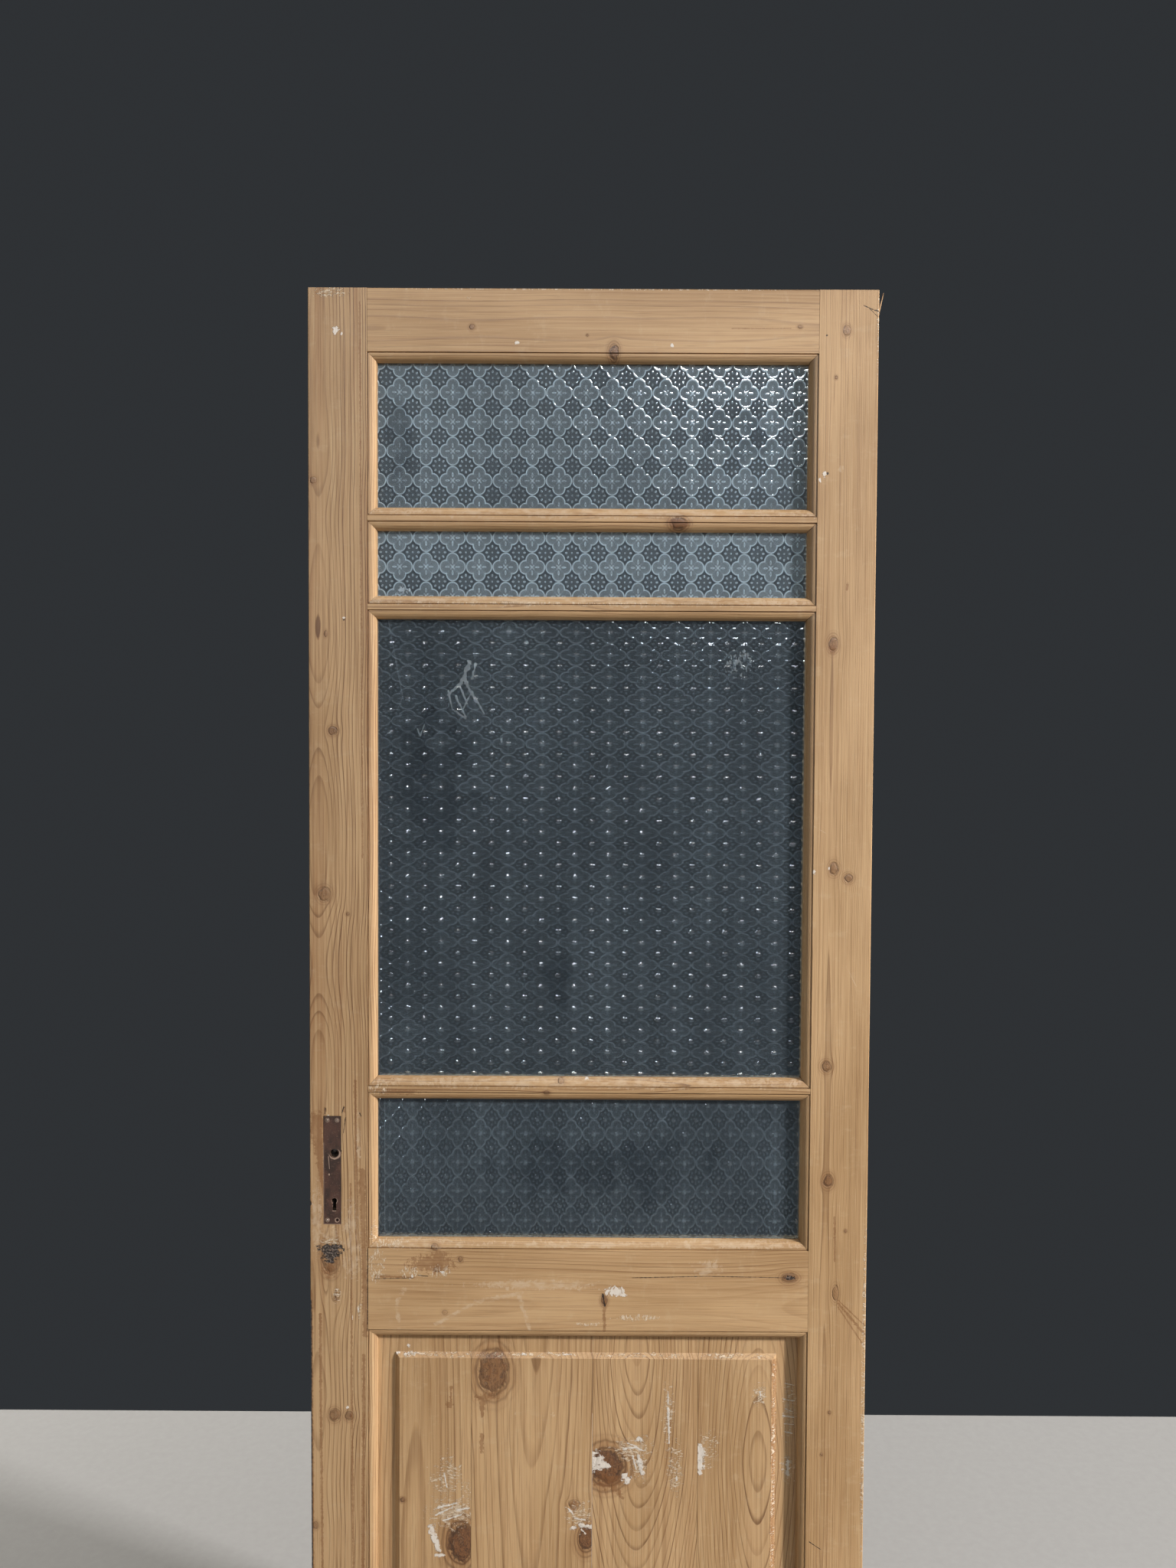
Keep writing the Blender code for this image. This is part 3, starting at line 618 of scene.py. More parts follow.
def glass_material(name, repeat, start, depth, clear, paleness, even=0.0, domed=0.0, wiped=(),
                   smears=(), scratches=()):
    """Clear glass under a thin film of dust, paler on the figure's ridges and rims as painted
    reflections and darker beside the ridges as painted shade. depth is how far its finest relief
    stands out, nought on the smooth side. paleness is how pale the film and its painted reflections
    are, even how little it follows the figure, and domed how high the hubs are. Wiped places have
    less dust, smears more."""
    mat, tree, shader = new_material(name)
    place = object_place(tree)
    cloud = place.stretch(7.0, 7.0, 5.0).noise(3.0, 0.6)
    streak = place.stretch(70.0, 70.0, 5.0).noise(2.0, 0.6)
    ragged = (place.stretch(160.0, 160.0, 120.0).noise(3.0, 0.65) - 0.5) * 3.4
    soft = (place.stretch(30.0, 30.0, 24.0).noise(3.0, 0.6) - 0.5) * 1.2
    film = cloud.fade(0.30, 0.70) * 0.26 + streak.fade(0.35, 0.75) * 0.14 + 0.66
    film = film * (marks_on(tree, place, True, soft, wiped) * -WIPED + 1.0 if wiped else 1.0)
    smear = marks_on(tree, place, True, ragged, smears) if smears else 0.0
    line = marks_on(tree, place, True, 0.0, scratches) if scratches else 0.0
    figure = use_group(tree, FIGURE, {"Place": place.arrow("SUBTRACT", start), "Repeat": repeat})
    # The film is paler with the figure's painted reflections and darker with its painted shade.
    pale = (figure["Dust And Painted Light"] * (1.0 - even) + even * 0.6) * film * paleness
    pale = pale.most(line * SCRATCHED) if scratches else pale
    pale = pale.most(smear * SMEARED) if smears else pale
    tint = plain_colour(tree, GLASS_TINT).blend(DUST_AND_SHEEN, pale)
    feed(tree, shader.inputs["Base Color"], tint)
    gloss = film * 0.05 + 0.015
    if smears:
        gloss = gloss + smear * SMEAR_GLOSS
    height = figure["Height"] * depth + place.stretch(24.0, 24.0, 18.0).noise(1.0, 0.5) * WAVE
    if domed and depth:
        gloss = gloss + figure["Domes"].fade(0.0, 0.4) * DOME_GLOSS
        height = height + figure["Domes"] * domed
    feed(tree, shader.inputs["Roughness"], gloss)
    shader.inputs["Transmission Weight"].default_value = clear
    shader.inputs["IOR"].default_value = GLASS_IOR
    bump(tree, shader, height, 1.0)
    return mat


# Panes. repeat is the figure's, start a quatrefoil's centre, relief and fine how far the mesh and
# then the finest relief stand out, step the mesh size and clear the share of clear glass.
# glass_material says the rest. All in metres on the leaf.
PANES = {
    "pane_1": dict(
        repeat=(0.0377, 0.0412), start=(-0.6736, 0.9597), relief=0.00012, fine=0.00006,
        step=0.00125, clear=0.72, paleness=1.25,
        wiped=[(-0.2, 0.9, 0.09, 0.07), (-0.675, 0.9, 0.028, 0.12)],
        scratches=[((-0.6437, 1.0), (-0.6437, 0.796), 0.0005, 0.0)]),
    "pane_2": dict(
        repeat=(0.0377, 0.0412), start=(-0.6736, 0.7141), relief=0.00012, fine=0.00006,
        step=0.00125, clear=0.72, paleness=1.6,
        smears=[(-0.67, 0.68, 0.01, 0.008)]),
    "pane_3": dict(
        repeat=(0.048, 0.0317), start=(-0.662, 0.59), relief=0.00008, fine=0.00014,
        step=0.00215, clear=0.88, paleness=0.76, even=0.46, domed=0.00095,
        wiped=[(-0.62, 0.42, 0.1, 0.2), (-0.44, 0.14, 0.05, 0.1)],
        smears=[((-0.573, 0.579), (-0.587, 0.548), 0.0034),
                ((-0.585, 0.55), (-0.604, 0.533), 0.0022),
                ((-0.582, 0.556), (-0.564, 0.523), 0.0028),
                ((-0.593, 0.53), (-0.579, 0.501), 0.0018),
                ((-0.564, 0.526), (-0.553, 0.506), 0.0016),
                ((-0.565, 0.576), (-0.57, 0.556), 0.0022),
                ((-0.604, 0.538), (-0.598, 0.512), 0.0014),
                ((-0.598, 0.512), (-0.579, 0.499), 0.0013),
                ((-0.588, 0.546), (-0.577, 0.52), 0.0014),
                ((-0.571, 0.536), (-0.585, 0.508), 0.0012),
                ((-0.6482, 0.484), (-0.644, 0.474), 0.001),
                ((-0.644, 0.474), (-0.638, 0.49), 0.001), (-0.5279, 0.4701, 0.0022, 0.004),
                (-0.191, 0.5798, 0.019, 0.019),
                ((-0.702, -0.015), (-0.098, -0.015), 0.0014, 0.0)],
        scratches=[((-0.6897, 0.639), (-0.669, 0.5283), 0.0007, 0.0),
                   ((-0.669, 0.5283), (-0.676, 0.512), 0.0006, 0.0),
                   ((-0.676, 0.512), (-0.6996, 0.5074), 0.0006, 0.0)]),
    "pane_4": dict(
        repeat=(0.0328, 0.0421), start=(-0.5568, -0.099), relief=0.00012, fine=0.00012,
        step=0.00125, clear=0.865, paleness=0.78, even=0.42, domed=0.0006,
        wiped=[(-0.4, -0.15, 0.27, 0.08)],
        smears=[((-0.702, -0.25), (-0.098, -0.25), 0.0014, 0.0)],
        scratches=[((-0.695, -0.048), (-0.695, -0.251), 0.0007, 0.0)]),
}


def make_pane(name, repeat, start, relief, fine, step, **finish):
    """A pane with the figure pressed into its front, inside the CAD pane's box."""
    low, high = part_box(name)
    size = high - low
    bm = bmesh.new()
    bmesh.ops.create_grid(bm, x_segments=round(size.x / step), y_segments=round(size.z / step),
                          size=0.5)
    verts = list(bm.verts)
    x = np.array([(v.co.x + 0.5) * size.x + low.x for v in verts])
    z = np.array([(v.co.y + 0.5) * size.z + low.z for v in verts])
    rise = figure_height(x - start[0], z - start[1], *repeat) * relief
    for vert, px, pz, up in zip(verts, x, z, rise):
        vert.co = (px, low.y + relief - up, pz)
    for face in bm.faces:
        face.smooth = True
    rim = [edge for edge in bm.edges if edge.is_boundary]
    made = bmesh.ops.extrude_edge_only(bm, edges=rim)["geom"]
    for item in made:
        if isinstance(item, bmesh.types.BMVert):
            item.co.y = high.y
    walls = [item for item in made if isinstance(item, bmesh.types.BMFace)]
    rim = [edge for edge in bm.edges if edge.is_boundary]
    closing = bmesh.ops.edgeloop_fill(bm, edges=rim)["faces"]
    for face in walls + closing:
        face.material_index = 1
        face.smooth = False
    bmesh.ops.recalc_face_normals(bm, faces=bm.faces)
    mesh = bpy.data.meshes.new(f"figured_{name}")
    bm.to_mesh(mesh)
    bm.free()
    pane = bpy.data.objects.new(f"figured_{name}", mesh)
    bpy.context.scene.collection.objects.link(pane)
    spot = (start[0], 0.0, start[1])
    pressed = (repeat[0], 1.0, repeat[1])
    mesh.materials.append(glass_material(f"{name}_figured_side", pressed, spot, fine, **finish))
    mesh.materials.append(glass_material(f"{name}_smooth_side", pressed, spot, 0.0, **finish))
    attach(pane, "root")
    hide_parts(name)


# Timber: grain, knots and marks of every member, in metres on the leaf
TIMBER = {
    "lock_stile": dict(
        upright=True, pith=(-0.786, 0.046), gap=0.0038, flame=0.04, seed=3.1, redness=0.8,
        lines=0.95, tone=0.12,
        knots=[(-0.7932, 0.8325, 0.0046, 0.0046, 0.1), (-0.7761, 0.6169, 0.0022, 0.004, 0.3),
               (-0.7656, 0.4807, 0.0058, 0.0054, 0.5), (-0.7791, 0.2476, 0.0085, 0.0095, 0.25),
               (-0.7454, 0.2194, 0.0028, 0.0024, 0.3), (-0.7316, -0.1169, 0.0018, 0.002, 0.2),
               (-0.7654, -0.5075, 0.007, 0.0078, 0.35),
               (-0.7444, -0.5085, 0.0056, 0.0058, 0.35), (-0.7935, -0.6705, 0.004, 0.005, 0.3),
               (-0.7617, -0.3311, 0.0036, 0.008, 0.0), (-0.7713, -0.279, 0.011, 0.02, 0.3),
               (-0.7713, -0.315, 0.015, 0.042, -1.0)],
        stain=[((-0.725, -0.15), (-0.7205, -0.39), 0.005), (-0.778, -0.062, 0.002, 0.004),
               (-0.751, -0.061, 0.002, 0.004),
               ((-0.79, -0.085), (-0.7812, -0.186), 0.011, 0.93),
               ((-0.79, -0.074), (-0.7895, -0.084), 0.0095, 0.0),
               ((-0.799, -0.325), (-0.797, -1.08), 0.0024, 0.0),
               ((-0.727, 1.08), (-0.724, 0.3), 0.0014), (-0.7713, -0.295, 0.009, 0.011),
               ((-0.735, -0.02), (-0.733, -0.26), 0.0022),
               ((-0.723, -0.42), (-0.726, -0.98), 0.0024),
               ((-0.742, -0.17), (-0.738, -0.8), 0.0016),
               ((-0.786, -0.36), (-0.782, -0.9), 0.002)],
        pale=[(-0.7713, -0.241, 0.011, 0.009), (-0.73, -0.105, 0.003, 0.03),
              (-0.74, -0.255, 0.012, 0.05), (-0.791, -0.22, 0.006, 0.045)],
        flecks=[(-0.768, 1.094, 0.02, 0.007), (-0.7617, -0.3311, 0.005, 0.009),
                (-0.729, -0.35, 0.003, 0.012), (-0.7713, -0.253, 0.017, 0.004),
                (-0.708, -0.24, 0.005, 0.012)],
        paint=[(-0.7604, 1.0412, 0.0042, 0.005), (-0.7526, 1.0359, 0.0012, 0.0018),
               (-0.7501, 0.6396, 0.002, 0.0018), (-0.7465, -0.4961, 0.0018, 0.0022),
               # The first dot here, on the wood at the plate's top edge, is a painted glint.
               (-0.773, -0.07, 0.0014, 0.0009), (-0.7308, -0.353, 0.001, 0.0034),
               (-0.739, -0.364, 0.0007, 0.0034)],
        crack=[((-0.7776, -0.0595), (-0.7786, -0.068), 0.0008),
               ((-0.7513, -0.0582), (-0.754, -0.0665), 0.0008),
               (-0.7501, 0.637, 0.0012, 0.0012), ((-0.749, -0.073), (-0.752, -0.096), 0.0006),
               ((-0.7283, -0.0671), (-0.7266, -0.0711), 0.0008), (-0.8, -0.1973, 0.0016, 0.004),
               ((-0.7174, -0.262), (-0.7178, -0.384), 0.0006),
               # The marks behind the plate's spindle hole, keyhole and empty nail hole are painted
               # shade inside those holes.
               (-0.765, -0.125, 0.0085, 0.0085, 0.2), (-0.765, -0.199, 0.006, 0.013, 0.2),
               (-0.761, -0.2223, 0.003, 0.003)],
        char=[(-0.7704, -0.2632, 0.018, 0.0056), (-0.7706, -0.269, 0.014, 0.006),
              (-0.7712, -0.275, 0.009, 0.0085),
              ((-0.7992, -0.34), (-0.7978, -1.09), 0.0012, 0.0)]),
    "hinge_stile": dict(
        upright=True, pith=(-0.059, 0.033), gap=0.0025, flame=0.009, seed=8.4, redness=0.12,
        lines=0.42, flame_length=0.6,
        knots=[(-0.045, 1.0434, 0.0046, 0.0065, 0.25), (-0.0592, 0.9787, 0.002, 0.0026, 0.4),
               (-0.059, 0.6065, 0.006, 0.01, 0.45), (-0.054, 0.2877, 0.0065, 0.0085, 0.25),
               (-0.0332, 0.2747, 0.006, 0.006, 0.35), (-0.0615, 0.0044, 0.007, 0.0075, 0.3),
               (-0.0573, -0.1617, 0.0066, 0.009, 0.4), (-0.0311, -0.2339, 0.0022, 0.0022, 0.3),
               (-0.0442, -0.325, 0.0048, 0.011, 0.1), (-0.051, -0.4996, 0.0024, 0.0024, 0.2),
               (-0.0613, -0.5617, 0.0022, 0.0022, 0.2)],
        stain=[(-0.0395, 0.6873, 0.0018, 0.0055),
               ((-0.0467, -0.214), (-0.046, -0.2786), 0.0016),
               ((-0.04, -0.335), (-0.001, -0.372), 0.0011, 0.0),
               ((-0.0395, -0.34), (-0.0008, -0.385), 0.002, 0.0),
               ((-0.04, -0.345), (-0.003, -0.4), 0.0011, 0.0), (-0.059, 0.599, 0.005, 0.006)],
        pale=[((-0.083, 0.3485), (-0.0589, 0.3345), 0.0006), (-0.0501, 0.851, 0.004, 0.004),
              ((-0.035, 0.15), (-0.02, 0.12), 0.0008)],
        flecks=[(-0.002, -0.46, 0.0028, 0.2), (-0.001, 1.03, 0.0014, 0.05)],
        paint=[(-0.0737, 0.8445, 0.0022, 0.004), (-0.0801, 0.8359, 0.0016, 0.003),
               (-0.0822, 0.2831, 0.0024, 0.0032), (-0.061, 0.2885, 0.0014, 0.002)],
        crack=[((-0.0214, 1.0784), (-0.0101, 1.0732), 0.0009),
               ((-0.0101, 1.0732), (0.0018, 1.0695), 0.0009),
               ((-0.014, 1.075), (-0.002, 1.063), 0.0005), (-0.0695, 0.845, 0.0012, 0.0016),
               (-0.0728, 1.0369, 0.0012, 0.0012),
               ((-0.0775, -0.6908), (-0.0607, -0.7021), 0.0006)]),
    "top_rail": dict(
        upright=False, pith=(1.044, 0.06), gap=0.0046, flame=0.024, seed=2.9, redness=0.14,
        lines=0.36, flame_length=0.4, tone=0.05,
        knots=[(-0.5702, 1.0463, 0.0034, 0.0034, 0.4), (-0.3706, 1.0122, 0.006, 0.01, 0.7),
               (-0.4083, 1.0354, 0.0018, 0.0018, 0.3), (-0.1104, 1.0484, 0.003, 0.0022, 0.3)],
        stain=[((-0.2058, 1.0458), (-0.1233, 1.0462), 0.0009)],
        flecks=[(-0.5735, 1.0875, 0.003, 0.002), (-0.4, 1.099, 0.25, 0.001)],
        paint=[(-0.5069, 1.0254, 0.0024, 0.0024), (-0.2892, 1.0216, 0.0022, 0.0022)]),
    "lock_rail": dict(
        upright=False, pith=(-0.345, 0.11), gap=0.003, flame=0.026, seed=5.2, redness=0.22,
        lines=0.34, flame_length=0.6,
        knots=[(-0.6217, -0.2609, 0.0052, 0.0044, 0.3), (-0.6173, -0.2933, 0.0048, 0.004, 0.3),
               (-0.5843, -0.2785, 0.0034, 0.0034, 0.3), (-0.3769, -0.3377, 0.004, 0.0064, 0.6),
               (-0.1106, -0.3025, 0.01, 0.0066, 0.4), (-0.6062, -0.3559, 0.0038, 0.0034, 0.0)],
        stain=[((-0.3769, -0.3377), (-0.376, -0.381), 0.0024, 0.0),
               (-0.625, -0.285, 0.03, 0.012), (-0.615, -0.278, 0.01, 0.012),
               ((-0.705, -0.304), (-0.65, -0.305), 0.002)],
        pale=[((-0.6183, -0.3728), (-0.561, -0.341), 0.003),
              ((-0.561, -0.341), (-0.4958, -0.3273), 0.004),
              ((-0.5, -0.329), (-0.4837, -0.3809), 0.0034),
              ((-0.6647, -0.3226), (-0.6746, -0.3395), 0.0034),
              ((-0.6746, -0.3395), (-0.6724, -0.3798), 0.0034), (-0.47, -0.315, 0.085, 0.0065),
              # The bands at z -0.256 make the rail paler along its upper moulding.
              (-0.23, -0.29, 0.02, 0.01), (-0.2, -0.256, 0.1, 0.005),
              (-0.64, -0.257, 0.07, 0.006), (-0.42, -0.257, 0.12, 0.004)],
        flecks=[(-0.705, -0.287, 0.011, 0.02), (-0.656, -0.299, 0.014, 0.008),
                (-0.615, -0.296, 0.014, 0.008), (-0.4, -0.372, 0.016, 0.0022),
                (-0.33, -0.362, 0.028, 0.004), (-0.69, -0.256, 0.028, 0.005)],
        paint=[(-0.3615, -0.3242, 0.013, 0.0058), (-0.349, -0.329, 0.005, 0.0026),
               (-0.6095, -0.297, 0.003, 0.0022), (-0.653, -0.303, 0.0016, 0.002)],
        crack=[((-0.3374, -0.3039), (-0.23, -0.301), 0.0006),
               ((-0.23, -0.301), (-0.1139, -0.3025), 0.0005),
               ((-0.379, -0.328), (-0.376, -0.345), 0.0016),
               ((-0.708, -0.3075), (-0.65, -0.306), 0.0005),
               ((-0.645, -0.302), (-0.63, -0.3035), 0.0005)],
        char=[(-0.1106, -0.3025, 0.007, 0.003)]),
    "bottom_rail": dict(
        upright=False, pith=(-1.0, 0.07), gap=0.0044, flame=0.04, seed=12.6, redness=0.3,
        knots=[(-0.55, -0.985, 0.009, 0.008, 0.6), (-0.24, -1.035, 0.007, 0.006, 0.4)],
        flecks=[(-0.4, -1.095, 0.32, 0.006), (-0.25, -0.93, 0.05, 0.01)],
        pale=[((-0.6, -1.02), (-0.48, -0.99), 0.003)],
        paint=[(-0.31, -0.955, 0.009, 0.005)]),
    "glazing_bar_1": dict(
        upright=False, pith=(0.79, 0.05), gap=0.0036, flame=0.02, seed=21.0, redness=0.4,
        knots=[(-0.2784, 0.7747, 0.01, 0.0076, 0.9)],
        stain=[(-0.2784, 0.7747, 0.016, 0.0055)],
        # Paler along its upper moulding.
        pale=[(-0.4, 0.79, 0.36, 0.008)]),
    "glazing_bar_2": dict(
        upright=False, pith=(0.665, 0.05), gap=0.0036, flame=0.02, seed=26.0, redness=0.4,
        flecks=[(-0.45, 0.661, 0.2, 0.002)],
        # Paler along its upper moulding.
        pale=[(-0.4, 0.666, 0.36, 0.008)]),
    "glazing_bar_3": dict(
        upright=False, pith=(-0.02, 0.045), gap=0.0034, flame=0.02, seed=33.0, redness=0.6,
        lines=0.7,
        knots=[(-0.4412, -0.0194, 0.005, 0.004, 0.3), (-0.4609, -0.0361, 0.004, 0.003, 0.3)],
        paint=[(-0.4039, -0.0169, 0.003, 0.0014)],
        stain=[(-0.67, -0.036, 0.03, 0.004)],
        # Paler along its upper moulding.
        pale=[(-0.4, -0.021, 0.36, 0.008)],
        flecks=[(-0.7, -0.03, 0.012, 0.008)]),
    "panel_board_1": dict(
        upright=True, pith=(-0.648, 0.044), gap=0.0075, flame=0.006, seed=41.0, redness=0.24,
        lines=0.5, bow=(-0.72, 0.03),
        knots=[(-0.6687, -0.6376, 0.0034, 0.0034, 0.6), (-0.5845, -0.7009, 0.0167, 0.0265, 1.0)],
        stain=[((-0.5982, -0.47), (-0.5981, -0.5), 0.0022), (-0.601, -0.496, 0.006, 0.004)],
        flecks=[(-0.605, -0.605, 0.02, 0.03), (-0.597, -0.656, 0.03, 0.02),
                (-0.615, -0.4225, 0.06, 0.0032), (-0.576, -0.63, 0.009, 0.022),
                (-0.66, -0.4225, 0.02, 0.004)],
        pale=[(-0.597, -0.656, 0.03, 0.018)],
        paint=[((-0.627, -0.679), (-0.6165, -0.711), 0.005, 0.2),
               (-0.612, -0.7205, 0.0085, 0.0032), ((-0.62, -0.66), (-0.596, -0.648), 0.0016),
               ((-0.616, -0.649), (-0.59, -0.642), 0.0018),
               ((-0.609, -0.668), (-0.583, -0.659), 0.0014),
               ((-0.588, -0.652), (-0.572, -0.6495), 0.0022), (-0.666, -0.4222, 0.015, 0.0022),
               (-0.66, -0.412, 0.003, 0.004), ((-0.608, -0.598), (-0.604, -0.618), 0.001)]),
    "panel_board_2": dict(
        upright=True, pith=(-0.481, 0.06), gap=0.0062, flame=0.014, seed=47.0, redness=0.18,
        lines=0.5, flame_length=0.6, bow=(-0.35, 0.035),
        knots=[(-0.5385, -0.448, 0.0205, 0.028, 0.6), (-0.4004, -0.694, 0.011, 0.017, 0.85),
               (-0.4196, -0.6428, 0.0085, 0.0065, 0.0)],
        stain=[((-0.5536, -0.54), (-0.5535, -0.565), 0.0034), (-0.545, -0.483, 0.017, 0.007),
               ((-0.5526, -0.485), (-0.5525, -0.514), 0.0064, 0.8),
               (-0.4196, -0.644, 0.0085, 0.007)],
        pale=[(-0.5045, -0.5085, 0.0016, 0.0026), (-0.4508, -0.5096, 0.0024, 0.0028),
              (-0.462, -0.4475, 0.0014, 0.0045)],
        flecks=[(-0.411, -0.658, 0.018, 0.018), (-0.48, -0.4225, 0.086, 0.003)],
        paint=[((-0.409, -0.674), (-0.393, -0.676), 0.0034, 0.0),
               (-0.4205, -0.6775, 0.0042, 0.004), ((-0.427, -0.649), (-0.421, -0.656), 0.0013),
               ((-0.418, -0.663), (-0.403, -0.666), 0.0015),
               ((-0.408, -0.68), (-0.402, -0.686), 0.0016), (-0.496, -0.4222, 0.006, 0.0014),
               (-0.43, -0.4225, 0.008, 0.0012)]),
    "panel_board_3": dict(
        upright=True, pith=(-0.3294, 0.046), gap=0.0042, flame=0.01, seed=55.0, redness=0.35,
        flame_length=0.34, lines=0.72, bow=(-0.415, 0.12),
        knots=[(-0.3715, -0.5857, 0.0235, 0.0235, 1.0)],
        stain=[(-0.37, -0.608, 0.021, 0.011), ((-0.365, -0.61), (-0.348, -0.633), 0.007, 0.7)],
        flecks=[(-0.333, -0.56, 0.026, 0.018), (-0.2822, -0.513, 0.007, 0.048),
                (-0.271, -0.588, 0.01, 0.036), (-0.32, -0.4225, 0.08, 0.003),
                (-0.324, -0.585, 0.012, 0.02)],
        pale=[(-0.333, -0.558, 0.022, 0.012)],
        paint=[((-0.3925, -0.579), (-0.3665, -0.5868), 0.015, 0.9),
               (-0.3261, -0.5457, 0.0052, 0.0046),
               ((-0.3254, -0.5729), (-0.3197, -0.5967), 0.0036, 0.1),
               (-0.3425, -0.6037, 0.006, 0.0075), ((-0.3466, -0.56), (-0.33, -0.5575), 0.0016),
               ((-0.33, -0.5575), (-0.3177, -0.5626), 0.0016),
               ((-0.3411, -0.5514), (-0.3288, -0.556), 0.0013),
               ((-0.334, -0.57), (-0.329, -0.59), 0.0013),
               ((-0.2833, -0.4746), (-0.283, -0.496), 0.0009),
               ((-0.2828, -0.499), (-0.2811, -0.5511), 0.0018, 0.4),
               (-0.396, -0.568, 0.005, 0.004), (-0.27, -0.602, 0.0012, 0.005)]),
    "panel_board_4": dict(
        upright=True, pith=(-0.1518, 0.0376), gap=0.0049, flame=0.004, seed=62.0, redness=0.3,
        lines=0.66, bow=(-0.5786, 0.124),
        stain=[((-0.1294, -0.43), (-0.1294, -0.88), 0.0036, 0.0)],
        flecks=[(-0.225, -0.56, 0.014, 0.024), (-0.15, -0.48, 0.008, 0.016),
                (-0.1294, -0.6, 0.0032, 0.18), (-0.19, -0.4225, 0.05, 0.0032),
                (-0.1067, -0.505, 0.011, 0.044), (-0.1072, -0.59, 0.01, 0.02)],
        paint=[((-0.2366, -0.559), (-0.2362, -0.5935), 0.006, 0.2),
               ((-0.108, -0.58), (-0.1075, -0.599), 0.0034),
               ((-0.113, -0.464), (-0.1, -0.467), 0.0008),
               ((-0.114, -0.488), (-0.099, -0.49), 0.0012),
               ((-0.112, -0.502), (-0.101, -0.506), 0.001),
               ((-0.115, -0.512), (-0.099, -0.515), 0.0013),
               ((-0.114, -0.524), (-0.1, -0.525), 0.0008),
               ((-0.112, -0.536), (-0.102, -0.538), 0.001),
               ((-0.15, -0.474), (-0.149, -0.481), 0.0012)],
        pale=[(-0.1072, -0.59, 0.011, 0.022), (-0.106, -0.505, 0.01, 0.04)]),
}


def dress(name, mat):
    """Give a CAD node its material."""
    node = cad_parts[name]
    node.data.materials.clear()
    node.data.materials.append(mat)


def dress_leaf():
    for name, look in TIMBER.items():
        dress(name, pine_material(f"{name}_pine", **look))
    iron = iron_material()
    steel = steel_material()
    dress("lock_plate", iron)
    for number in (1, 2, 3):
        dress(f"plate_nail_{number}", steel)
    bead = dict(gap=0.0032, flame=0.02, redness=0.3)
    lying = pine_material("bead_lying_pine", upright=False, pith=(0.30, 0.060), seed=71.0, **bead)
    stood = pine_material("bead_upright_pine", upright=True, pith=(-0.40, 0.060), seed=77.0, **bead)
    for lite in (1, 2, 3, 4):
        for side, mat in (("top", lying), ("bottom", lying), ("left", stood), ("right", stood)):
            dress(f"bead_{lite}_{side}", mat)


# Room, light and camera. A hair of air is left under the foot.
FLOOR_SIZE = (6.0, 3.0)
FLOOR_CENTRE = (-0.4, -0.45)
FLOOR_GAP = 0.0005


def make_floor():
    bm = bmesh.new()
    bmesh.ops.create_grid(bm, x_segments=1, y_segments=1, size=0.5)
    bmesh.ops.scale(bm, verts=bm.verts, vec=(*FLOOR_SIZE, 1.0))
    bmesh.ops.translate(bm, verts=bm.verts, vec=(*FLOOR_CENTRE, FOOT - FLOOR_GAP))
    mesh = bpy.data.meshes.new("floor")
    bm.to_mesh(mesh)
    bm.free()
    floor = bpy.data.objects.new("floor", mesh)
    bpy.context.scene.collection.objects.link(floor)
    mat, tree, shader = new_material("pale_floor")
    grain = object_place(tree).stretch(60.0, 60.0, 60.0).noise(3.0, 0.6)
    feed(tree, shader.inputs["Base Color"], plain_colour(tree, FLOOR_PALE).blend(FLOOR_DARK, grain))
    shader.inputs["Roughness"].default_value = 0.8
    mesh.materials.append(mat)


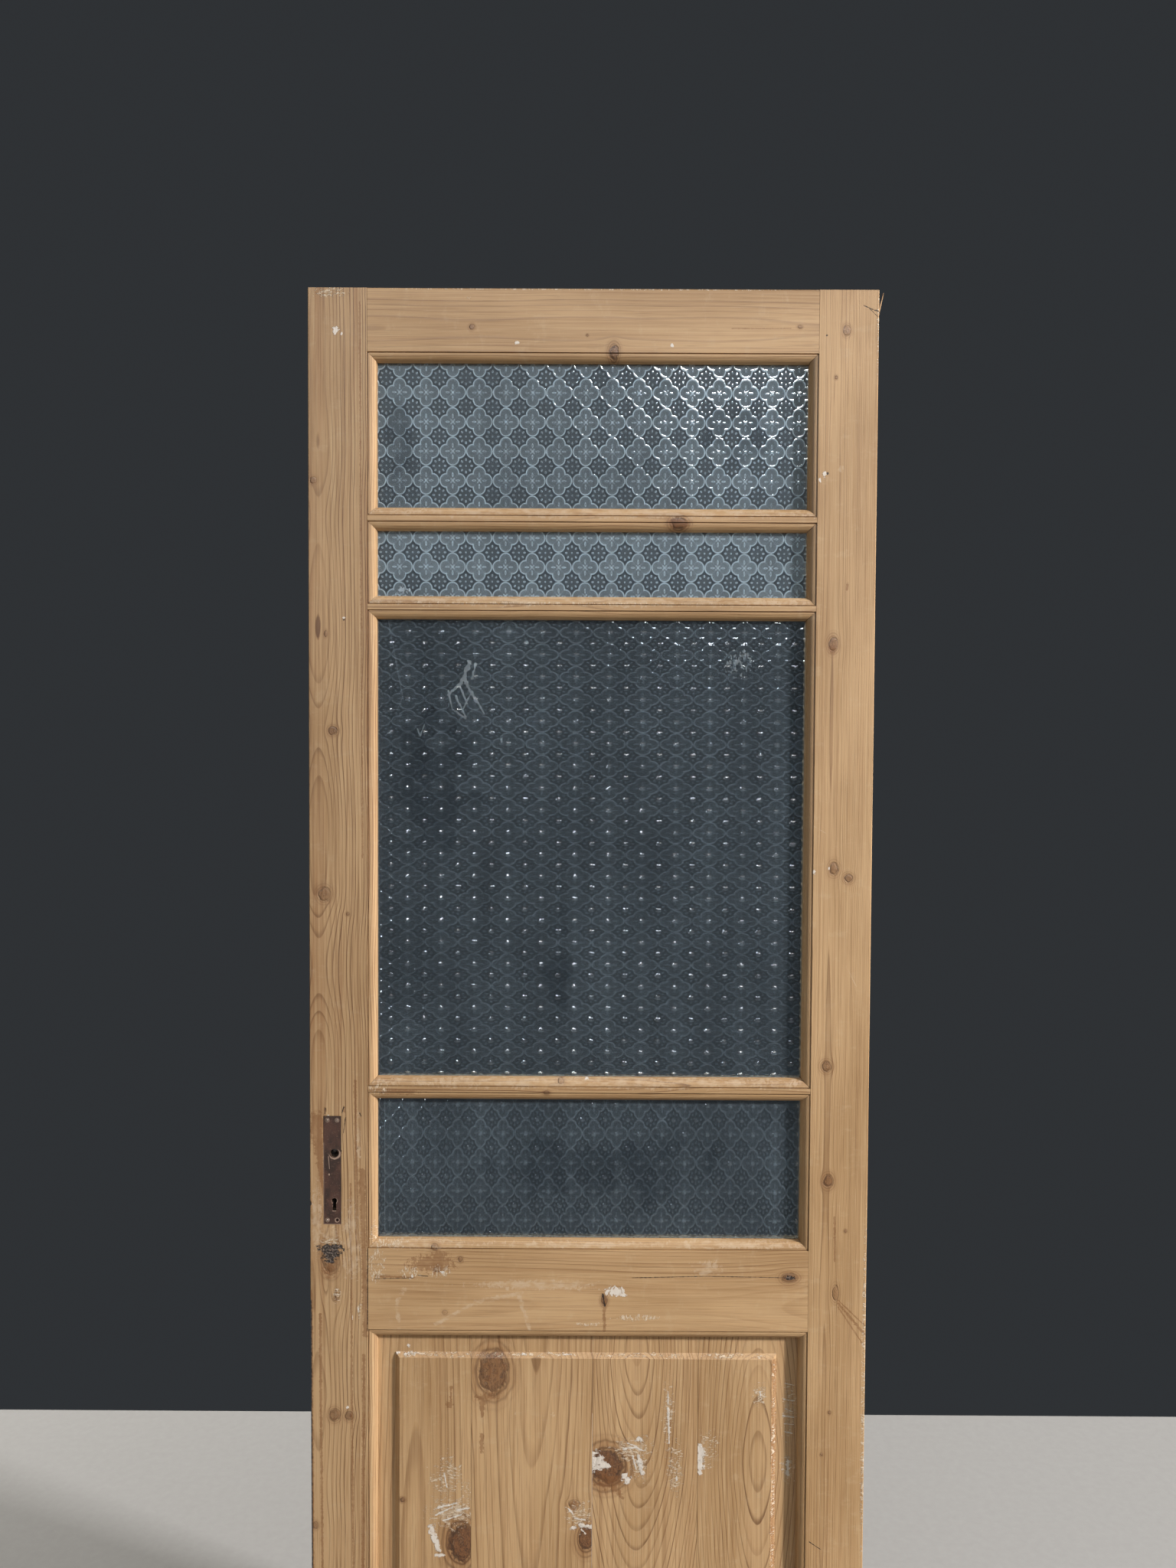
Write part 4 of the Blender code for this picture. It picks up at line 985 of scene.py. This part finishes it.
# Lamps. Those behind the leaf don't shine through its glass. A glint lights no matt surface: the
# glints make the sparkle of the figured glass.
LAMPS = {
    "key": dict(
        place=(6.28, -2.9, 2.75), aim=(-0.4, 0.0, 0.1), wide=0.55, high=0.75, power=980.0,
        colour=(1.0, 0.988, 1.0)),
    "spot_1": dict(
        place=(0.42, -4.4, 2.8), aim=(-0.2, 0.0, 0.5), wide=0.95, high=0.42, power=110.0,
        colour=(1.0, 1.0, 1.0), glint=True),
    "spot_2": dict(
        place=(-1.2, -3.4, 3.1), aim=(-0.4, 0.0, 0.3), wide=1.1, high=0.5, power=200.0,
        colour=(1.0, 1.0, 1.0), glint=True),
    "spot_3": dict(
        place=(1.7, -3.4, 2.7), aim=(-0.4, 0.0, 0.3), wide=0.8, high=0.5, power=160.0,
        colour=(1.0, 1.0, 1.0), glint=True),
    "spot_4": dict(
        place=(-2.7, -4.2, -0.6), aim=(-0.4, 0.0, 0.2), wide=0.5, high=0.35, power=22.0,
        colour=(1.0, 1.0, 1.0), glint=True),
    "pale_wall": dict(
        place=(-0.38, -4.2, 1.86), aim=(-0.38, 0.0, 0.9), wide=2.6, high=1.36, power=4.0,
        colour=(0.85, 0.96, 1.03), glint=True),
    "back_key": dict(
        place=(-3.4, 3.2, 1.5), aim=(-0.4, 0.0, 0.0), wide=0.9, high=1.2, power=150.0,
        colour=(1.0, 0.98, 0.95), behind=True),
    "back_fill": dict(
        place=(1.6, 4.0, 0.9), aim=(-0.4, 0.0, 0.0), wide=2.2, high=2.2, power=40.0,
        colour=(0.97, 0.98, 1.0), behind=True),
}


def make_light(name, place, aim, wide, high, power, colour, behind=False, glint=False):
    data = bpy.data.lights.new(name, "AREA")
    data.shape = "RECTANGLE"
    data.size = wide
    data.size_y = high
    data.energy = power
    data.color = colour
    lamp = bpy.data.objects.new(name, data)
    lamp.location = place
    lamp.rotation_euler = (Vector(aim) - Vector(place)).to_track_quat("-Z", "Y").to_euler()
    lamp.visible_camera = False
    lamp.visible_transmission = not behind
    lamp.visible_diffuse = not glint
    bpy.context.scene.collection.objects.link(lamp)


def make_world():
    """A dark wall behind the leaf, and before it a room with a pale ceiling over darker walls."""
    world = bpy.data.worlds.new("studio")
    world.use_nodes = True
    tree = world.node_tree
    _, deep, up = Reading(tree, tree.nodes.new("ShaderNodeTexCoord").outputs["Generated"]).parts()
    front = plain_colour(tree, ROOM_WALLS).blend(ROOM_CEILING, up.fade(0.08, 0.45))
    room = plain_colour(tree, WALL_BEHIND).blend(front, deep.fade(0.25, -0.25))
    tree.links.new(room.socket, tree.nodes["Background"].inputs[0])
    bpy.context.scene.world = world


def make_camera():
    data = bpy.data.cameras.new("camera")
    data.sensor_fit = "HORIZONTAL"
    data.sensor_width = FILM
    data.lens = LENS
    camera = bpy.data.objects.new("camera", data)
    camera.location = EYE
    camera.rotation_euler = Euler([math.radians(angle) for angle in GAZE])
    bpy.context.scene.collection.objects.link(camera)
    bpy.context.scene.camera = camera


make_camera()
make_world()
for lamp_name, lamp_look in LAMPS.items():
    make_light(lamp_name, **lamp_look)
make_floor()
dress_leaf()
for pane_name, pane_finish in PANES.items():
    make_pane(pane_name, **pane_finish)
bpy.context.scene.view_settings.view_transform = "Standard"
